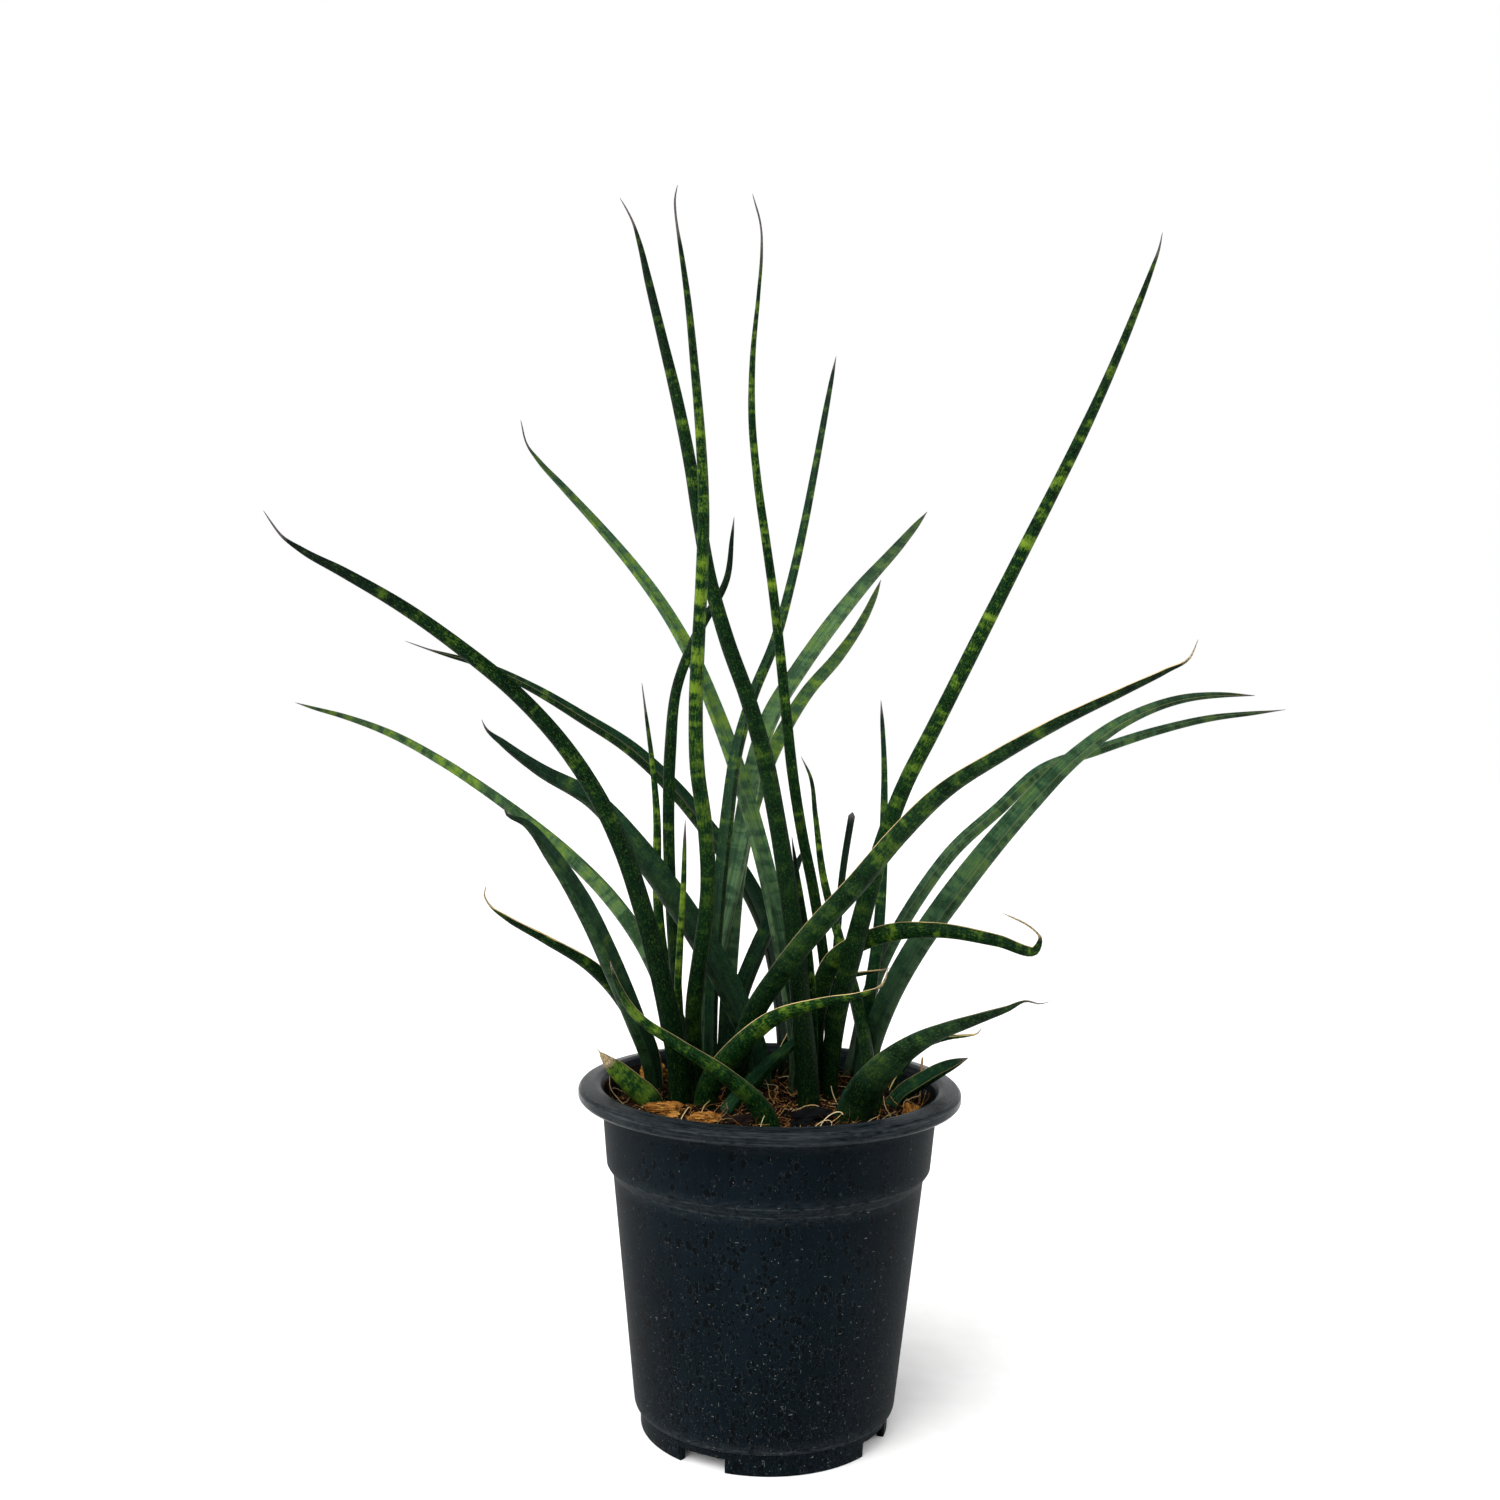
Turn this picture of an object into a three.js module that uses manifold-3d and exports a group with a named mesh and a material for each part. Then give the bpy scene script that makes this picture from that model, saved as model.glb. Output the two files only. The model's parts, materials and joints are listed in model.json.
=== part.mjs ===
// A potted snake plant of the slender, round-leaved kind, standing in a plastic nursery pot.
// Millimetres, +Z up. The origin is on the floor, on the pot's axis; -Y is the plant's front.
import * as THREE from "three";
import { mergeVertices } from "three/addons/utils/BufferGeometryUtils.js";
import Module from "manifold-3d";

const wasm = await Module();
wasm.setup();

// ---- Driving dimensions ----

// Pot: a thin moulded shell with a rolled lip, a stepped upper band and a recessed foot ring.
const POT_HEIGHT = 148.5;
const LIP_RADIUS = 82.5;
const BAND_TOP_RADIUS = 72.3;
const BAND_BOTTOM_RADIUS = 69.9;
const BAND_BOTTOM_Z = 114;
const BODY_TOP_RADIUS = 67.1;
const BODY_TOP_Z = 110;
const BODY_BOTTOM_RADIUS = 56.5;
const FOOT_RADIUS = 53.5;
const FOOT_WALL = 3;
const FOOT_HEIGHT = 10;
const FLOOR_UNDERSIDE = 6.5;
const FLOOR_TOP = 9;
const WALL = 1.3;
const POT_SEGMENTS = 64;
const NOTCH_COUNT = 4;
const NOTCH_WIDTH = 21;
const NOTCH_HEIGHT = 6;
const NOTCH_FIRST_ANGLE = 61;
const DRAIN_COUNT = 4;
const DRAIN_RADIUS = 5;
const DRAIN_CIRCLE = 32;

// Soil: coir and bark medium, filled to a little below the lip.
const SOIL_LEVEL = 138.5;
const SOIL_EDGE_DROP = 1.5;
const SOIL_BUMP = 1.1;
const SOIL_SEGMENTS = 40;

// Leaves stand with their feet this far down in the soil.
const ROOT_Z = 124;
const SECTION_STEP = 27;
const THREAD_STEP = 5;
const THREAD_WIDTH = 0.9;
const THICKNESS = 0.86;

// Clearance between pieces that touch.
const GAP = 0.4;

// Where along a leaf its widths are stated, as parts of the length without the dried thread.
const WIDTH_STATIONS = [0, 0.2, 0.4, 0.6, 0.8, 0.95, 1];
const TIP_WIDTH = 1.2;

// Each leaf: where its foot stands, the points that its middle line passes, its widths at the
// stations, and the length of the dried thread at its tip. face is the way its channel looks;
// a leaf without one has its channel towards the middle of the plant.
const LEAVES = [
  // The four tallest, in the middle.
  {
    name: "leaf_01",
    foot: [17, -6],
    path: [
      [14, -4, 167], [8, 2, 220], [-7, 10, 296], [-28, 17, 357], [-43, 23, 432], [-57, 27, 487],
      [-67, 29, 524], [-73, 30, 535],
    ],
    widths: [10, 8.5, 8, 6.5, 5.5, 3.5],
    thread: 12,
    face: [0.5, 0.8, 0.3],
  },
  {
    name: "leaf_02",
    foot: [-32, 8],
    path: [
      [-34, 2, 175], [-28, -9, 238], [-34, -19, 294], [-32, -33, 370], [-32, -38, 401], [-39, -52, 473],
      [-44, -59, 507], [-43, -60, 513],
    ],
    widths: [7.5, 7, 6.5, 5.5, 4, 2.5],
    thread: 15,
    face: [0.3, 0.9, 0.3],
  },
  {
    name: "leaf_03",
    foot: [29, 30],
    path: [
      [28, 33, 151], [26, 37, 182], [20, 36, 221], [10, 31, 269], [-1, 18, 353], [-12, 6, 425],
      [-13, 1, 454], [-10, -3, 512], [-14, -5, 527],
    ],
    widths: [6, 5.5, 5.5, 4.5, 3.5, 1.5],
    thread: 15,
  },
  {
    name: "leaf_04",
    foot: [-26, 24],
    path: [[-26, 27, 183], [-20, 38, 266], [-14, 42, 304], [-2, 46, 335], [9, 51, 378], [26, 64, 474]],
    widths: [6.5, 6.5, 7, 5.5, 4, 3],
    thread: 0,
  },
  // Upright and leaning back.
  {
    name: "leaf_05",
    foot: [11, 22],
    path: [
      [13, 22, 153], [8, 30, 187], [-3, 43, 236], [-20, 57, 289], [-43, 71, 340], [-70, 84, 378],
      [-106, 94, 417], [-122, 97, 435], [-126, 100, 448],
    ],
    widths: [9, 9.5, 9, 8, 6, 3.5],
    thread: 13,
    face: [0.7, -0.6, 0.4],
  },
  {
    name: "leaf_06",
    foot: [-39, 27],
    path: [[-47, 33, 258], [-45, 35, 313], [-40, 37, 335], [-24, 38, 363], [-20, 40, 396]],
    widths: [7, 7, 7, 7, 5.5, 3],
    thread: 0,
    face: [0.8, 0.3, 0.3],
  },
  // The long arching leaves of the left side.
  {
    name: "leaf_07",
    foot: [-40, -4],
    path: [
      [-39, -5, 146], [-50, -21, 207], [-69, -40, 266], [-96, -52, 306], [-139, -66, 342],
      [-169, -73, 360], [-190, -77, 372], [-197, -80, 382],
    ],
    widths: [10.5, 9, 8, 7, 6, 4],
    thread: 11,
    face: [0.3, 0.7, 0.6],
  },
  {
    name: "leaf_08",
    foot: [9, 47],
    path: [
      [8, 50, 160], [4, 58, 187], [-4, 68, 212], [-20, 79, 237], [-59, 88, 281], [-84, 91, 298],
      [-134, 95, 325], [-169, 97, 335], [-181, 98, 339],
    ],
    widths: [10, 11, 10.5, 9.5, 6.5, 3.5],
    thread: 12,
    face: [0.3, -0.3, 0.9],
  },
  {
    name: "leaf_09",
    foot: [-35, 49],
    path: [
      [-40, 53, 158], [-61, 61, 202], [-91, 67, 235],
      [-142, 75, 272], [-188, 82, 296], [-232, 88, 308],
    ],
    widths: [11, 13, 11.5, 8, 6, 3],
    thread: 0,
    face: [0.3, 0.2, 0.9],
  },
  {
    name: "leaf_10",
    foot: [-3, 24],
    path: [
      [-8, 22, 161], [-29, 14, 204], [-58, 5, 246], [-76, 1, 267], [-94, -3, 277], [-124, -9, 300],
      [-125, -10, 303],
    ],
    widths: [10.5, 12.5, 13, 12, 8, 4],
    thread: 4,
    face: [0.6, -0.6, 0.5],
  },
  {
    name: "leaf_11",
    foot: [-51, 26],
    path: [
      [-53, 22, 152], [-64, 8, 181], [-78, -2, 198],
      [-117, -25, 225], [-120, -28, 230], [-119, -30, 235],
    ],
    widths: [9, 9.5, 9.5, 8.5, 6, 3.5],
    thread: 10,
    face: [0.2, 0.1, 0.95],
  },
  {
    name: "leaf_12",
    foot: [-49, 10],
    path: [
      [-51, 6, 151], [-60, -6, 180], [-82, -25, 232], [-97, -34, 255], [-104, -37, 263], [-110, -39, 266],
      [-110, -40, 270],
    ],
    widths: [9, 10.5, 11.5, 11.5, 9, 3.5],
    thread: 4,
    face: [0.8, -0.3, 0.5],
  },
  // Short leaves at the front left.
  {
    name: "leaf_13",
    foot: [2, -38],
    path: [[-11, -41, 153], [-23, -44, 165], [-53, -52, 185], [-62, -56, 199], [-65, -58, 209]],
    widths: [12, 11.5, 9, 7, 5, 2.5],
    thread: 0,
    face: [0.3, 0.3, 0.9],
  },
  {
    name: "leaf_14",
    foot: [-51, 0],
    path: [[-54, -5, 142], [-62.5, -7, 150.5], [-70.5, -10, 159], [-74, -11, 163.5]],
    widths: [9, 11, 11.5, 10.5, 8.5, 5],
    thread: 3,
    face: [0.4, 0.85, 0.35],
  },
  {
    name: "leaf_15",
    foot: [-29, -4],
    path: [[-13, -19, 168], [5, -32, 185], [41, -54, 199], [44, -57, 203], [45, -60, 209]],
    widths: [10, 11, 11, 8.5, 5.5, 3],
    thread: 10,
    face: [-0.3, 0.4, 0.9],
  },
  // The long arching leaves of the right side.
  {
    name: "leaf_16",
    foot: [-15, 3],
    path: [
      [-11, -3, 168], [-4, -11, 186], [21, -35, 225], [39, -50, 248], [59, -66, 275], [98, -99, 305],
      [133, -130, 326], [140, -138, 331], [142, -140, 337],
    ],
    widths: [8.5, 11, 11.5, 9.5, 6.5, 3.5],
    thread: 7,
    face: [-0.4, 0.3, 0.85],
  },
  {
    name: "leaf_17",
    foot: [42, 38],
    path: [[43, 39, 155], [50, 43, 213], [51, 48, 285], [49, 50, 314]],
    widths: [7, 6.5, 5.5, 4.5, 3, 2],
    thread: 0,
  },
  {
    name: "leaf_18",
    foot: [27, 14],
    path: [
      [28, 11, 165], [36, 5, 206], [52, -6, 269], [70, -15, 310], [91, -26, 357], [128, -43, 440],
      [146, -57, 494], [146, -60, 498],
    ],
    widths: [7.5, 9.5, 7.5, 6.5, 5, 3],
    thread: 6,
    face: [-0.5, 0.7, 0.4],
  },
  {
    name: "leaf_19",
    foot: [43, 28],
    path: [
      [46, 29, 159], [59, 28, 192], [85, 25, 233], [111, 24, 266], [130, 23, 287], [149, 22, 303],
      [172, 22, 315], [197, 20, 319], [212, 20, 319],
    ],
    widths: [10, 11.5, 12.5, 10.5, 6.5, 3.5],
    thread: 3,
    face: [-0.5, -0.4, 0.75],
  },
  {
    name: "leaf_20",
    foot: [34, 50],
    path: [
      [39, 50, 147], [49, 49, 187], [79, 45, 241], [106, 43, 268], [129, 42, 288], [146, 40, 293],
      [189, 38, 307], [231, 36, 313],
    ],
    widths: [7.5, 8.5, 8.5, 7.5, 5.5, 3.5],
    thread: 5,
    face: [-0.4, -0.2, 0.9],
  },
  {
    name: "leaf_21",
    foot: [20, 31],
    path: [
      [21, 29, 155], [23, 20, 187], [31, 17, 202], [42, 14, 209], [60, 7, 213], [78, -1, 215],
      [115, -14, 210], [113, -15, 215], [108, -18, 220], [96, -22, 226],
    ],
    widths: [7, 8, 9, 8.5, 6.5, 4.5],
    thread: 22,
    face: [-0.1, 0.8, 0.6],
  },
  // Short leaves at the front right.
  {
    name: "leaf_22",
    foot: [34, -27],
    path: [
      [38, -32, 151], [44, -40, 163], [55, -52, 177], [70, -65, 187], [94, -84, 200], [98, -86, 202],
      [101, -88, 200], [104, -90, 202],
    ],
    widths: [16, 18, 16, 11.5, 7, 3.5],
    thread: 11,
    face: [-0.4, 0.3, 0.85],
  },
  {
    name: "leaf_23",
    foot: [54, 20],
    path: [[65, 18, 158], [78, 16, 165], [92, 14, 168], [94, 14, 171]],
    widths: [4, 4, 3.5, 3, 3, 2],
    thread: 4,
  },
  {
    name: "leaf_24",
    foot: [53, -1],
    path: [[71, -8, 155], [84, -14, 163]],
    widths: [6.5, 7.5, 8, 7.5, 6.5, 4],
    thread: 2,
    face: [-0.4, -0.5, 0.75],
  },
  {
    name: "leaf_25",
    foot: [46, -13],
    path: [[47, -13, 146], [47, -14, 152]],
    widths: [4, 4, 4, 3.5, 2.5, 1.5],
    thread: 0,
  },
  // Young and slender leaves between the big ones.
  {
    name: "leaf_26",
    foot: [43, 14],
    path: [[42, 18, 160], [35, 34, 190], [24, 46, 229], [16, 58, 282], [13, 60, 287]],
    widths: [11, 10, 8, 6, 4, 2.5],
    thread: 0,
    face: [-0.9, 0.2, 0.3],
  },
  {
    name: "leaf_27",
    foot: [28, 43],
    path: [[33, 50, 234], [37, 51, 262]],
    widths: [3.5, 3.5, 3.5, 3.5, 3.5, 3.5],
    thread: 0,
  },
  {
    name: "leaf_28",
    foot: [-35, 15],
    path: [[-38, 11, 155], [-41, 0, 190], [-39, -6, 215], [-38, -10, 262]],
    widths: [3.5, 3.5, 3.5, 3, 2.5, 1.5],
    thread: 0,
  },
  {
    name: "leaf_29",
    foot: [-41, 40],
    path: [[-40, 40, 148], [-51, 36, 212], [-53, 33, 267], [-60, 30, 320]],
    widths: [6, 6, 6, 5, 3.5, 2],
    thread: 8,
  },
  {
    name: "leaf_30",
    foot: [-31, 36],
    path: [
      [-30, 37, 153], [-28, 42, 179], [-16, 56, 238], [-5, 72, 296], [6, 79, 318], [35, 94, 360],
      [64, 112, 394], [76, 120, 409],
    ],
    widths: [9, 9.5, 9.5, 9, 8, 5],
    thread: 0,
    face: [-0.5, -0.7, 0.5],
  },
  {
    name: "leaf_31",
    foot: [-20, 47],
    path: [
      [-18, 56, 196], [-15, 65, 233], [-8, 80, 265], [2, 94, 291], [17, 106, 317], [33, 116, 336],
      [48, 131, 359], [55, 140, 376],
    ],
    widths: [7.5, 7.5, 7.5, 7.5, 6.5, 4],
    thread: 0,
    face: [-0.4, -0.8, 0.5],
  },
  {
    name: "leaf_32",
    foot: [-20, 34],
    path: [[-19, 34, 145], [-17, 39, 162], [-12, 44, 182], [16, 62, 245]],
    widths: [8, 9, 9, 8.5, 6.5, 3.5],
    thread: 0,
    face: [-0.6, -0.6, 0.5],
  },
  {
    name: "leaf_33",
    foot: [20, 12],
    path: [[20, 10, 150], [18, 8, 194], [8, 12, 254]],
    widths: [5, 5, 5.5, 5, 4, 2.5],
    thread: 0,
  },
  {
    name: "leaf_34",
    foot: [-18, -18],
    path: [[-9, -10, 149], [6, 6, 160], [21, 16, 169]],
    widths: [6.5, 7, 7, 7, 5, 3],
    thread: 0,
  },
  {
    name: "leaf_35",
    foot: [0, 38],
    path: [[9, 37, 160], [19, 31, 182], [27, 27, 188], [53, 20, 195]],
    widths: [4.5, 4.5, 5, 5, 4.5, 2.5],
    thread: 3,
  },
];

// Loose pieces that lie half sunk in the soil: middle, size along x, y and z, turn about z.
const LOOSE_PIECES = [
  { name: "husk_back_left", at: [-53, 39, 142], size: [13, 7, 10], turn: 50, kind: "husk" },
  { name: "husk_front_left", at: [-44, -20, 140], size: [14, 8, 7], turn: -20, kind: "husk" },
  { name: "husk_front", at: [-28, -34, 140], size: [13, 8, 6], turn: 15, kind: "husk" },
  { name: "husk_back_right", at: [20, 60, 140], size: [12, 8, 6], turn: -15, kind: "husk" },
  { name: "husk_right", at: [60, -18, 140], size: [11, 7, 6], turn: 70, kind: "husk" },
  { name: "bark_front", at: [-13, -36, 139.5], size: [12, 8, 5], turn: 30, kind: "bark" },
  { name: "bark_back", at: [-5, 59, 140], size: [13, 9, 5], turn: -40, kind: "bark" },
  { name: "charcoal_front", at: [17, -32, 140.5], size: [14, 9, 8], turn: 10, kind: "charcoal" },
  { name: "charcoal_front_right", at: [38, -48, 140], size: [12, 8, 6], turn: 50, kind: "charcoal" },
];
const LOOSE_ROUGHNESS = 0.12;

// A dry twig that stands up from the soil by the right wall.
const TWIG_PATH = [[65, 4, 128], [65.5, 4, 145], [66.5, 3.5, 159]];
const TWIG_RADIUS = 0.8;

// ---- Materials ----

function potMaterial() {
  return new THREE.MeshStandardMaterial({ color: 0x14191e, roughness: 0.55, metalness: 0 });
}

function soilMaterial() {
  return new THREE.MeshStandardMaterial({ color: 0x3a2314, roughness: 0.95, metalness: 0 });
}

function leafMaterial() {
  return new THREE.MeshStandardMaterial({ color: 0x1c4526, roughness: 0.45, metalness: 0 });
}

function looseMaterial(kind) {
  const colours = { husk: 0xa5672c, bark: 0x2a2320, charcoal: 0x14161a };
  return new THREE.MeshStandardMaterial({ color: colours[kind], roughness: 0.9, metalness: 0 });
}

function twigMaterial() {
  return new THREE.MeshStandardMaterial({ color: 0x8a6238, roughness: 0.8, metalness: 0 });
}

// ---- Solids and meshes ----

// A closed geometry as a manifold solid, with its shared corners merged.
function solidOf(geometry) {
  const bare = geometry.clone();
  bare.deleteAttribute("normal");
  bare.deleteAttribute("uv");
  const merged = mergeVertices(bare, 1e-3);
  return new wasm.Manifold(
    new wasm.Mesh({
      numProp: 3,
      vertProperties: new Float32Array(merged.attributes.position.array),
      triVerts: new Uint32Array(merged.index.array),
    }),
  );
}

function geometryOf(solid) {
  const mesh = solid.getMesh();
  const geometry = new THREE.BufferGeometry();
  geometry.setAttribute("position", new THREE.BufferAttribute(mesh.vertProperties, 3));
  geometry.setIndex(new THREE.BufferAttribute(mesh.triVerts, 1));
  geometry.computeVertexNormals();
  return geometry;
}

function namedMesh(name, geometry, material) {
  const mesh = new THREE.Mesh(geometry, material);
  mesh.name = name;
  return mesh;
}

// A lathe turned so that its axis is Z.
function lathe(profile, segments) {
  const points = profile.map(([radius, z]) => new THREE.Vector2(radius, z));
  return new THREE.LatheGeometry(points, segments).rotateX(Math.PI / 2);
}

// ---- Pot ----

// The outside from the middle of the floor's underside to the lip, then the inside back down.
function potProfile() {
  return [
    [0, FLOOR_UNDERSIDE],
    [FOOT_RADIUS - FOOT_WALL, FLOOR_UNDERSIDE],
    [FOOT_RADIUS - FOOT_WALL, 0],
    [FOOT_RADIUS, 0],
    [FOOT_RADIUS + 0.3, FOOT_HEIGHT - 0.8],
    [BODY_BOTTOM_RADIUS - 0.4, FOOT_HEIGHT],
    [BODY_BOTTOM_RADIUS, FOOT_HEIGHT + 1.2],
    [BODY_TOP_RADIUS, BODY_TOP_Z],
    [BAND_BOTTOM_RADIUS, BAND_BOTTOM_Z],
    [BAND_TOP_RADIUS, POT_HEIGHT - 8],
    [BAND_TOP_RADIUS + 0.8, POT_HEIGHT - 7],
    [LIP_RADIUS - 1, POT_HEIGHT - 6.4],
    [LIP_RADIUS, POT_HEIGHT - 5.2],
    [LIP_RADIUS, POT_HEIGHT - 2.4],
    [LIP_RADIUS - 1.2, POT_HEIGHT - 1],
    [BAND_TOP_RADIUS + 3, POT_HEIGHT],
    [BAND_TOP_RADIUS + 0.8, POT_HEIGHT - 0.6],
    [BAND_TOP_RADIUS - 0.8, POT_HEIGHT - 3],
    [BAND_TOP_RADIUS - WALL, POT_HEIGHT - 8],
    [BAND_BOTTOM_RADIUS - WALL, BAND_BOTTOM_Z + 0.5],
    [BODY_TOP_RADIUS - WALL, BODY_TOP_Z + 0.5],
    [BODY_BOTTOM_RADIUS - WALL, FLOOR_TOP + 3],
    [BODY_BOTTOM_RADIUS - 3.5, FLOOR_TOP],
    [0, FLOOR_TOP],
  ];
}

// One notch in the foot ring, which lets water out sideways.
function notch(angle) {
  const reach = FOOT_WALL + 6;
  const block = new THREE.BoxGeometry(reach, NOTCH_WIDTH, 2 * NOTCH_HEIGHT);
  block.translate(FOOT_RADIUS - FOOT_WALL / 2, 0, 0);
  return solidOf(block.rotateZ(angle));
}

// A drain hole through the floor, at a distance from the axis.
function drain(angle, distance) {
  const pin = new THREE.CylinderGeometry(DRAIN_RADIUS, DRAIN_RADIUS, 3 * FLOOR_TOP, 16);
  pin.rotateX(Math.PI / 2);
  pin.translate(distance, 0, FLOOR_TOP);
  return solidOf(pin.rotateZ(angle));
}

function potMesh() {
  let solid = solidOf(lathe(potProfile(), POT_SEGMENTS));
  for (let i = 0; i < NOTCH_COUNT; i++) {
    const angle = NOTCH_FIRST_ANGLE + (i * 360) / NOTCH_COUNT;
    solid = solid.subtract(notch(THREE.MathUtils.degToRad(angle)));
  }
  for (let i = 0; i < DRAIN_COUNT; i++) {
    solid = solid.subtract(drain(((i + 0.5) * 2 * Math.PI) / DRAIN_COUNT, DRAIN_CIRCLE));
  }
  solid = solid.subtract(drain(0, 0));
  return namedMesh("pot", geometryOf(solid), potMaterial());
}

// ---- Leaves ----

// The outline of a leaf across its length, from one margin over the channel to the other margin
// and back along the round underside. u runs across and v towards the channel, both from -0.5 to 0.5.
const MARGIN_HEIGHT = 0.24;
const CHANNEL_HEIGHT = 0.12;
const SECTION = [
  [0.5, MARGIN_HEIGHT],
  [0.2, CHANNEL_HEIGHT],
  [-0.2, CHANNEL_HEIGHT],
  [-0.5, MARGIN_HEIGHT],
  [-0.43, -0.22],
  [-0.17, -0.48],
  [0.17, -0.48],
  [0.43, -0.22],
];

function leafCurve(leaf) {
  const [x, y] = leaf.foot;
  const points = [[x, y, ROOT_Z], [x, y, SOIL_LEVEL], ...leaf.path];
  const vectors = points.map((p) => new THREE.Vector3(...p));
  const curve = new THREE.CatmullRomCurve3(vectors, false, "centripetal");
  curve.arcLengthDivisions = 400;
  return curve;
}

// The leaf's width at a part of its length without the thread.
function widthAt(widths, part) {
  const stated = [...widths, TIP_WIDTH];
  const last = WIDTH_STATIONS.length - 1;
  let i = 0;
  while (i < last - 1 && part > WIDTH_STATIONS[i + 1]) {
    i++;
  }
  const span = WIDTH_STATIONS[i + 1] - WIDTH_STATIONS[i];
  const local = THREE.MathUtils.clamp((part - WIDTH_STATIONS[i]) / span, 0, 1);
  return THREE.MathUtils.lerp(stated[i], stated[i + 1], local);
}

// Where along the curve the sections are: close together on the curled thread and near the tip.
function sectionStations(length, thread) {
  const body = length - thread;
  const count = Math.max(5, Math.round(body / SECTION_STEP));
  const stations = [];
  for (let i = 0; i < count; i++) {
    stations.push((i / count) * body);
  }
  stations.push(body * (1 - 0.35 / count));
  const turns = Math.round(thread / THREAD_STEP);
  for (let i = 0; i < turns; i++) {
    stations.push(body + (i / turns) * thread);
  }
  return stations;
}

// The way the channel looks: as stated, or back towards the leaf's foot and up.
function faceOf(leaf) {
  if (leaf.face) {
    return new THREE.Vector3(...leaf.face).normalize();
  }
  const tip = leaf.path[leaf.path.length - 1];
  const lean = new THREE.Vector3(leaf.foot[0] - tip[0], leaf.foot[1] - tip[1], 0);
  lean.z = 0.8 * lean.length();
  return lean.normalize();
}

// A leaf as a loft of sections from its flat foot to its tip. Where grow is more than 0, it is
// the pocket round the leaf: thicker by that much on every side, and with the channel filled.
function leafGeometry(leaf, grow = 0) {
  const curve = leafCurve(leaf);
  const length = curve.getLength();
  const body = length - leaf.thread;
  const face = faceOf(leaf);
  const positions = [];
  const stations = sectionStations(length, leaf.thread);
  stations.forEach((station, i) => {
    const part = station / body;
    const width = part < 1 ? Math.max(widthAt(leaf.widths, part), THREAD_WIDTH) : THREAD_WIDTH;
    const point = curve.getPointAt(station / length);
    const along = i === 0 ? new THREE.Vector3(0, 0, 1) : curve.getTangentAt(station / length);
    const across = new THREE.Vector3().crossVectors(along, face).normalize();
    const up = new THREE.Vector3().crossVectors(across, along).normalize();
    if (i === 0) {
      point.z -= grow;
    }
    for (const [u, v] of SECTION) {
      const corner = point.clone();
      const height = grow > 0 && v > 0 ? MARGIN_HEIGHT : v;
      corner.addScaledVector(across, u * width + Math.sign(u) * grow);
      corner.addScaledVector(up, height * THICKNESS * width + Math.sign(v) * grow);
      positions.push(corner.x, corner.y, corner.z);
    }
  });
  const tip = curve.getPointAt(1);
  positions.push(tip.x, tip.y, tip.z);
  const geometry = new THREE.BufferGeometry();
  geometry.setAttribute("position", new THREE.Float32BufferAttribute(positions, 3));
  geometry.setIndex(loftFaces(stations.length, SECTION.length));
  geometry.computeVertexNormals();
  return geometry;
}

// Faces that join rings of corners, close the first ring flat and the last one to a point.
function loftFaces(rings, corners) {
  const faces = [];
  for (let ring = 0; ring + 1 < rings; ring++) {
    for (let i = 0; i < corners; i++) {
      const a = ring * corners + i;
      const b = ring * corners + ((i + 1) % corners);
      faces.push(a, a + corners, b, b, a + corners, b + corners);
    }
  }
  const last = (rings - 1) * corners;
  const tip = rings * corners;
  for (let i = 0; i < corners; i++) {
    faces.push(last + i, tip, last + ((i + 1) % corners));
  }
  for (let i = 1; i + 1 < corners; i++) {
    faces.push(0, i, i + 1);
  }
  return faces;
}

function leafMesh(leaf) {
  return namedMesh(leaf.name, leafGeometry(leaf), leafMaterial());
}

// ---- Loose pieces and twig ----

// An angular lump, its corners moved in and out by a fixed wave.
function looseGeometry(piece, grow = 0) {
  const lump = new THREE.IcosahedronGeometry(0.5, 1);
  const position = lump.attributes.position;
  for (let i = 0; i < position.count; i++) {
    const [x, y, z] = [position.getX(i), position.getY(i), position.getZ(i)];
    const wave = Math.sin(9 * x + piece.turn) + Math.sin(8 * y + 2 * piece.turn) + Math.cos(7 * z);
    const k = 1 + LOOSE_ROUGHNESS * wave;
    position.setXYZ(i, k * x, k * y, k * z);
  }
  const [length, width, height] = piece.size;
  lump.scale(length + 2 * grow, width + 2 * grow, height + 2 * grow);
  lump.rotateZ(THREE.MathUtils.degToRad(piece.turn));
  return lump.translate(...piece.at);
}

function looseMesh(piece) {
  const geometry = geometryOf(solidOf(looseGeometry(piece)));
  return namedMesh(piece.name, geometry, looseMaterial(piece.kind));
}

function twigGeometry(grow = 0) {
  const points = TWIG_PATH.map((p) => new THREE.Vector3(...p));
  points[0].z -= grow;
  const curve = new THREE.CatmullRomCurve3(points);
  const outline = new THREE.Shape();
  outline.absarc(0, 0, TWIG_RADIUS + grow, 0, 2 * Math.PI);
  return new THREE.ExtrudeGeometry(outline, { extrudePath: curve, steps: 6, curveSegments: 4 });
}

function twigMesh() {
  return namedMesh("twig", geometryOf(solidOf(twigGeometry())), twigMaterial());
}

// ---- Soil ----

// How far the surface stands above or below its level at a place.
function soilBump(x, y) {
  const wave = Math.sin(0.21 * x + 1) * Math.cos(0.17 * y) + 0.6 * Math.sin(0.11 * x - 0.19 * y);
  return SOIL_BUMP * wave;
}

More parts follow.
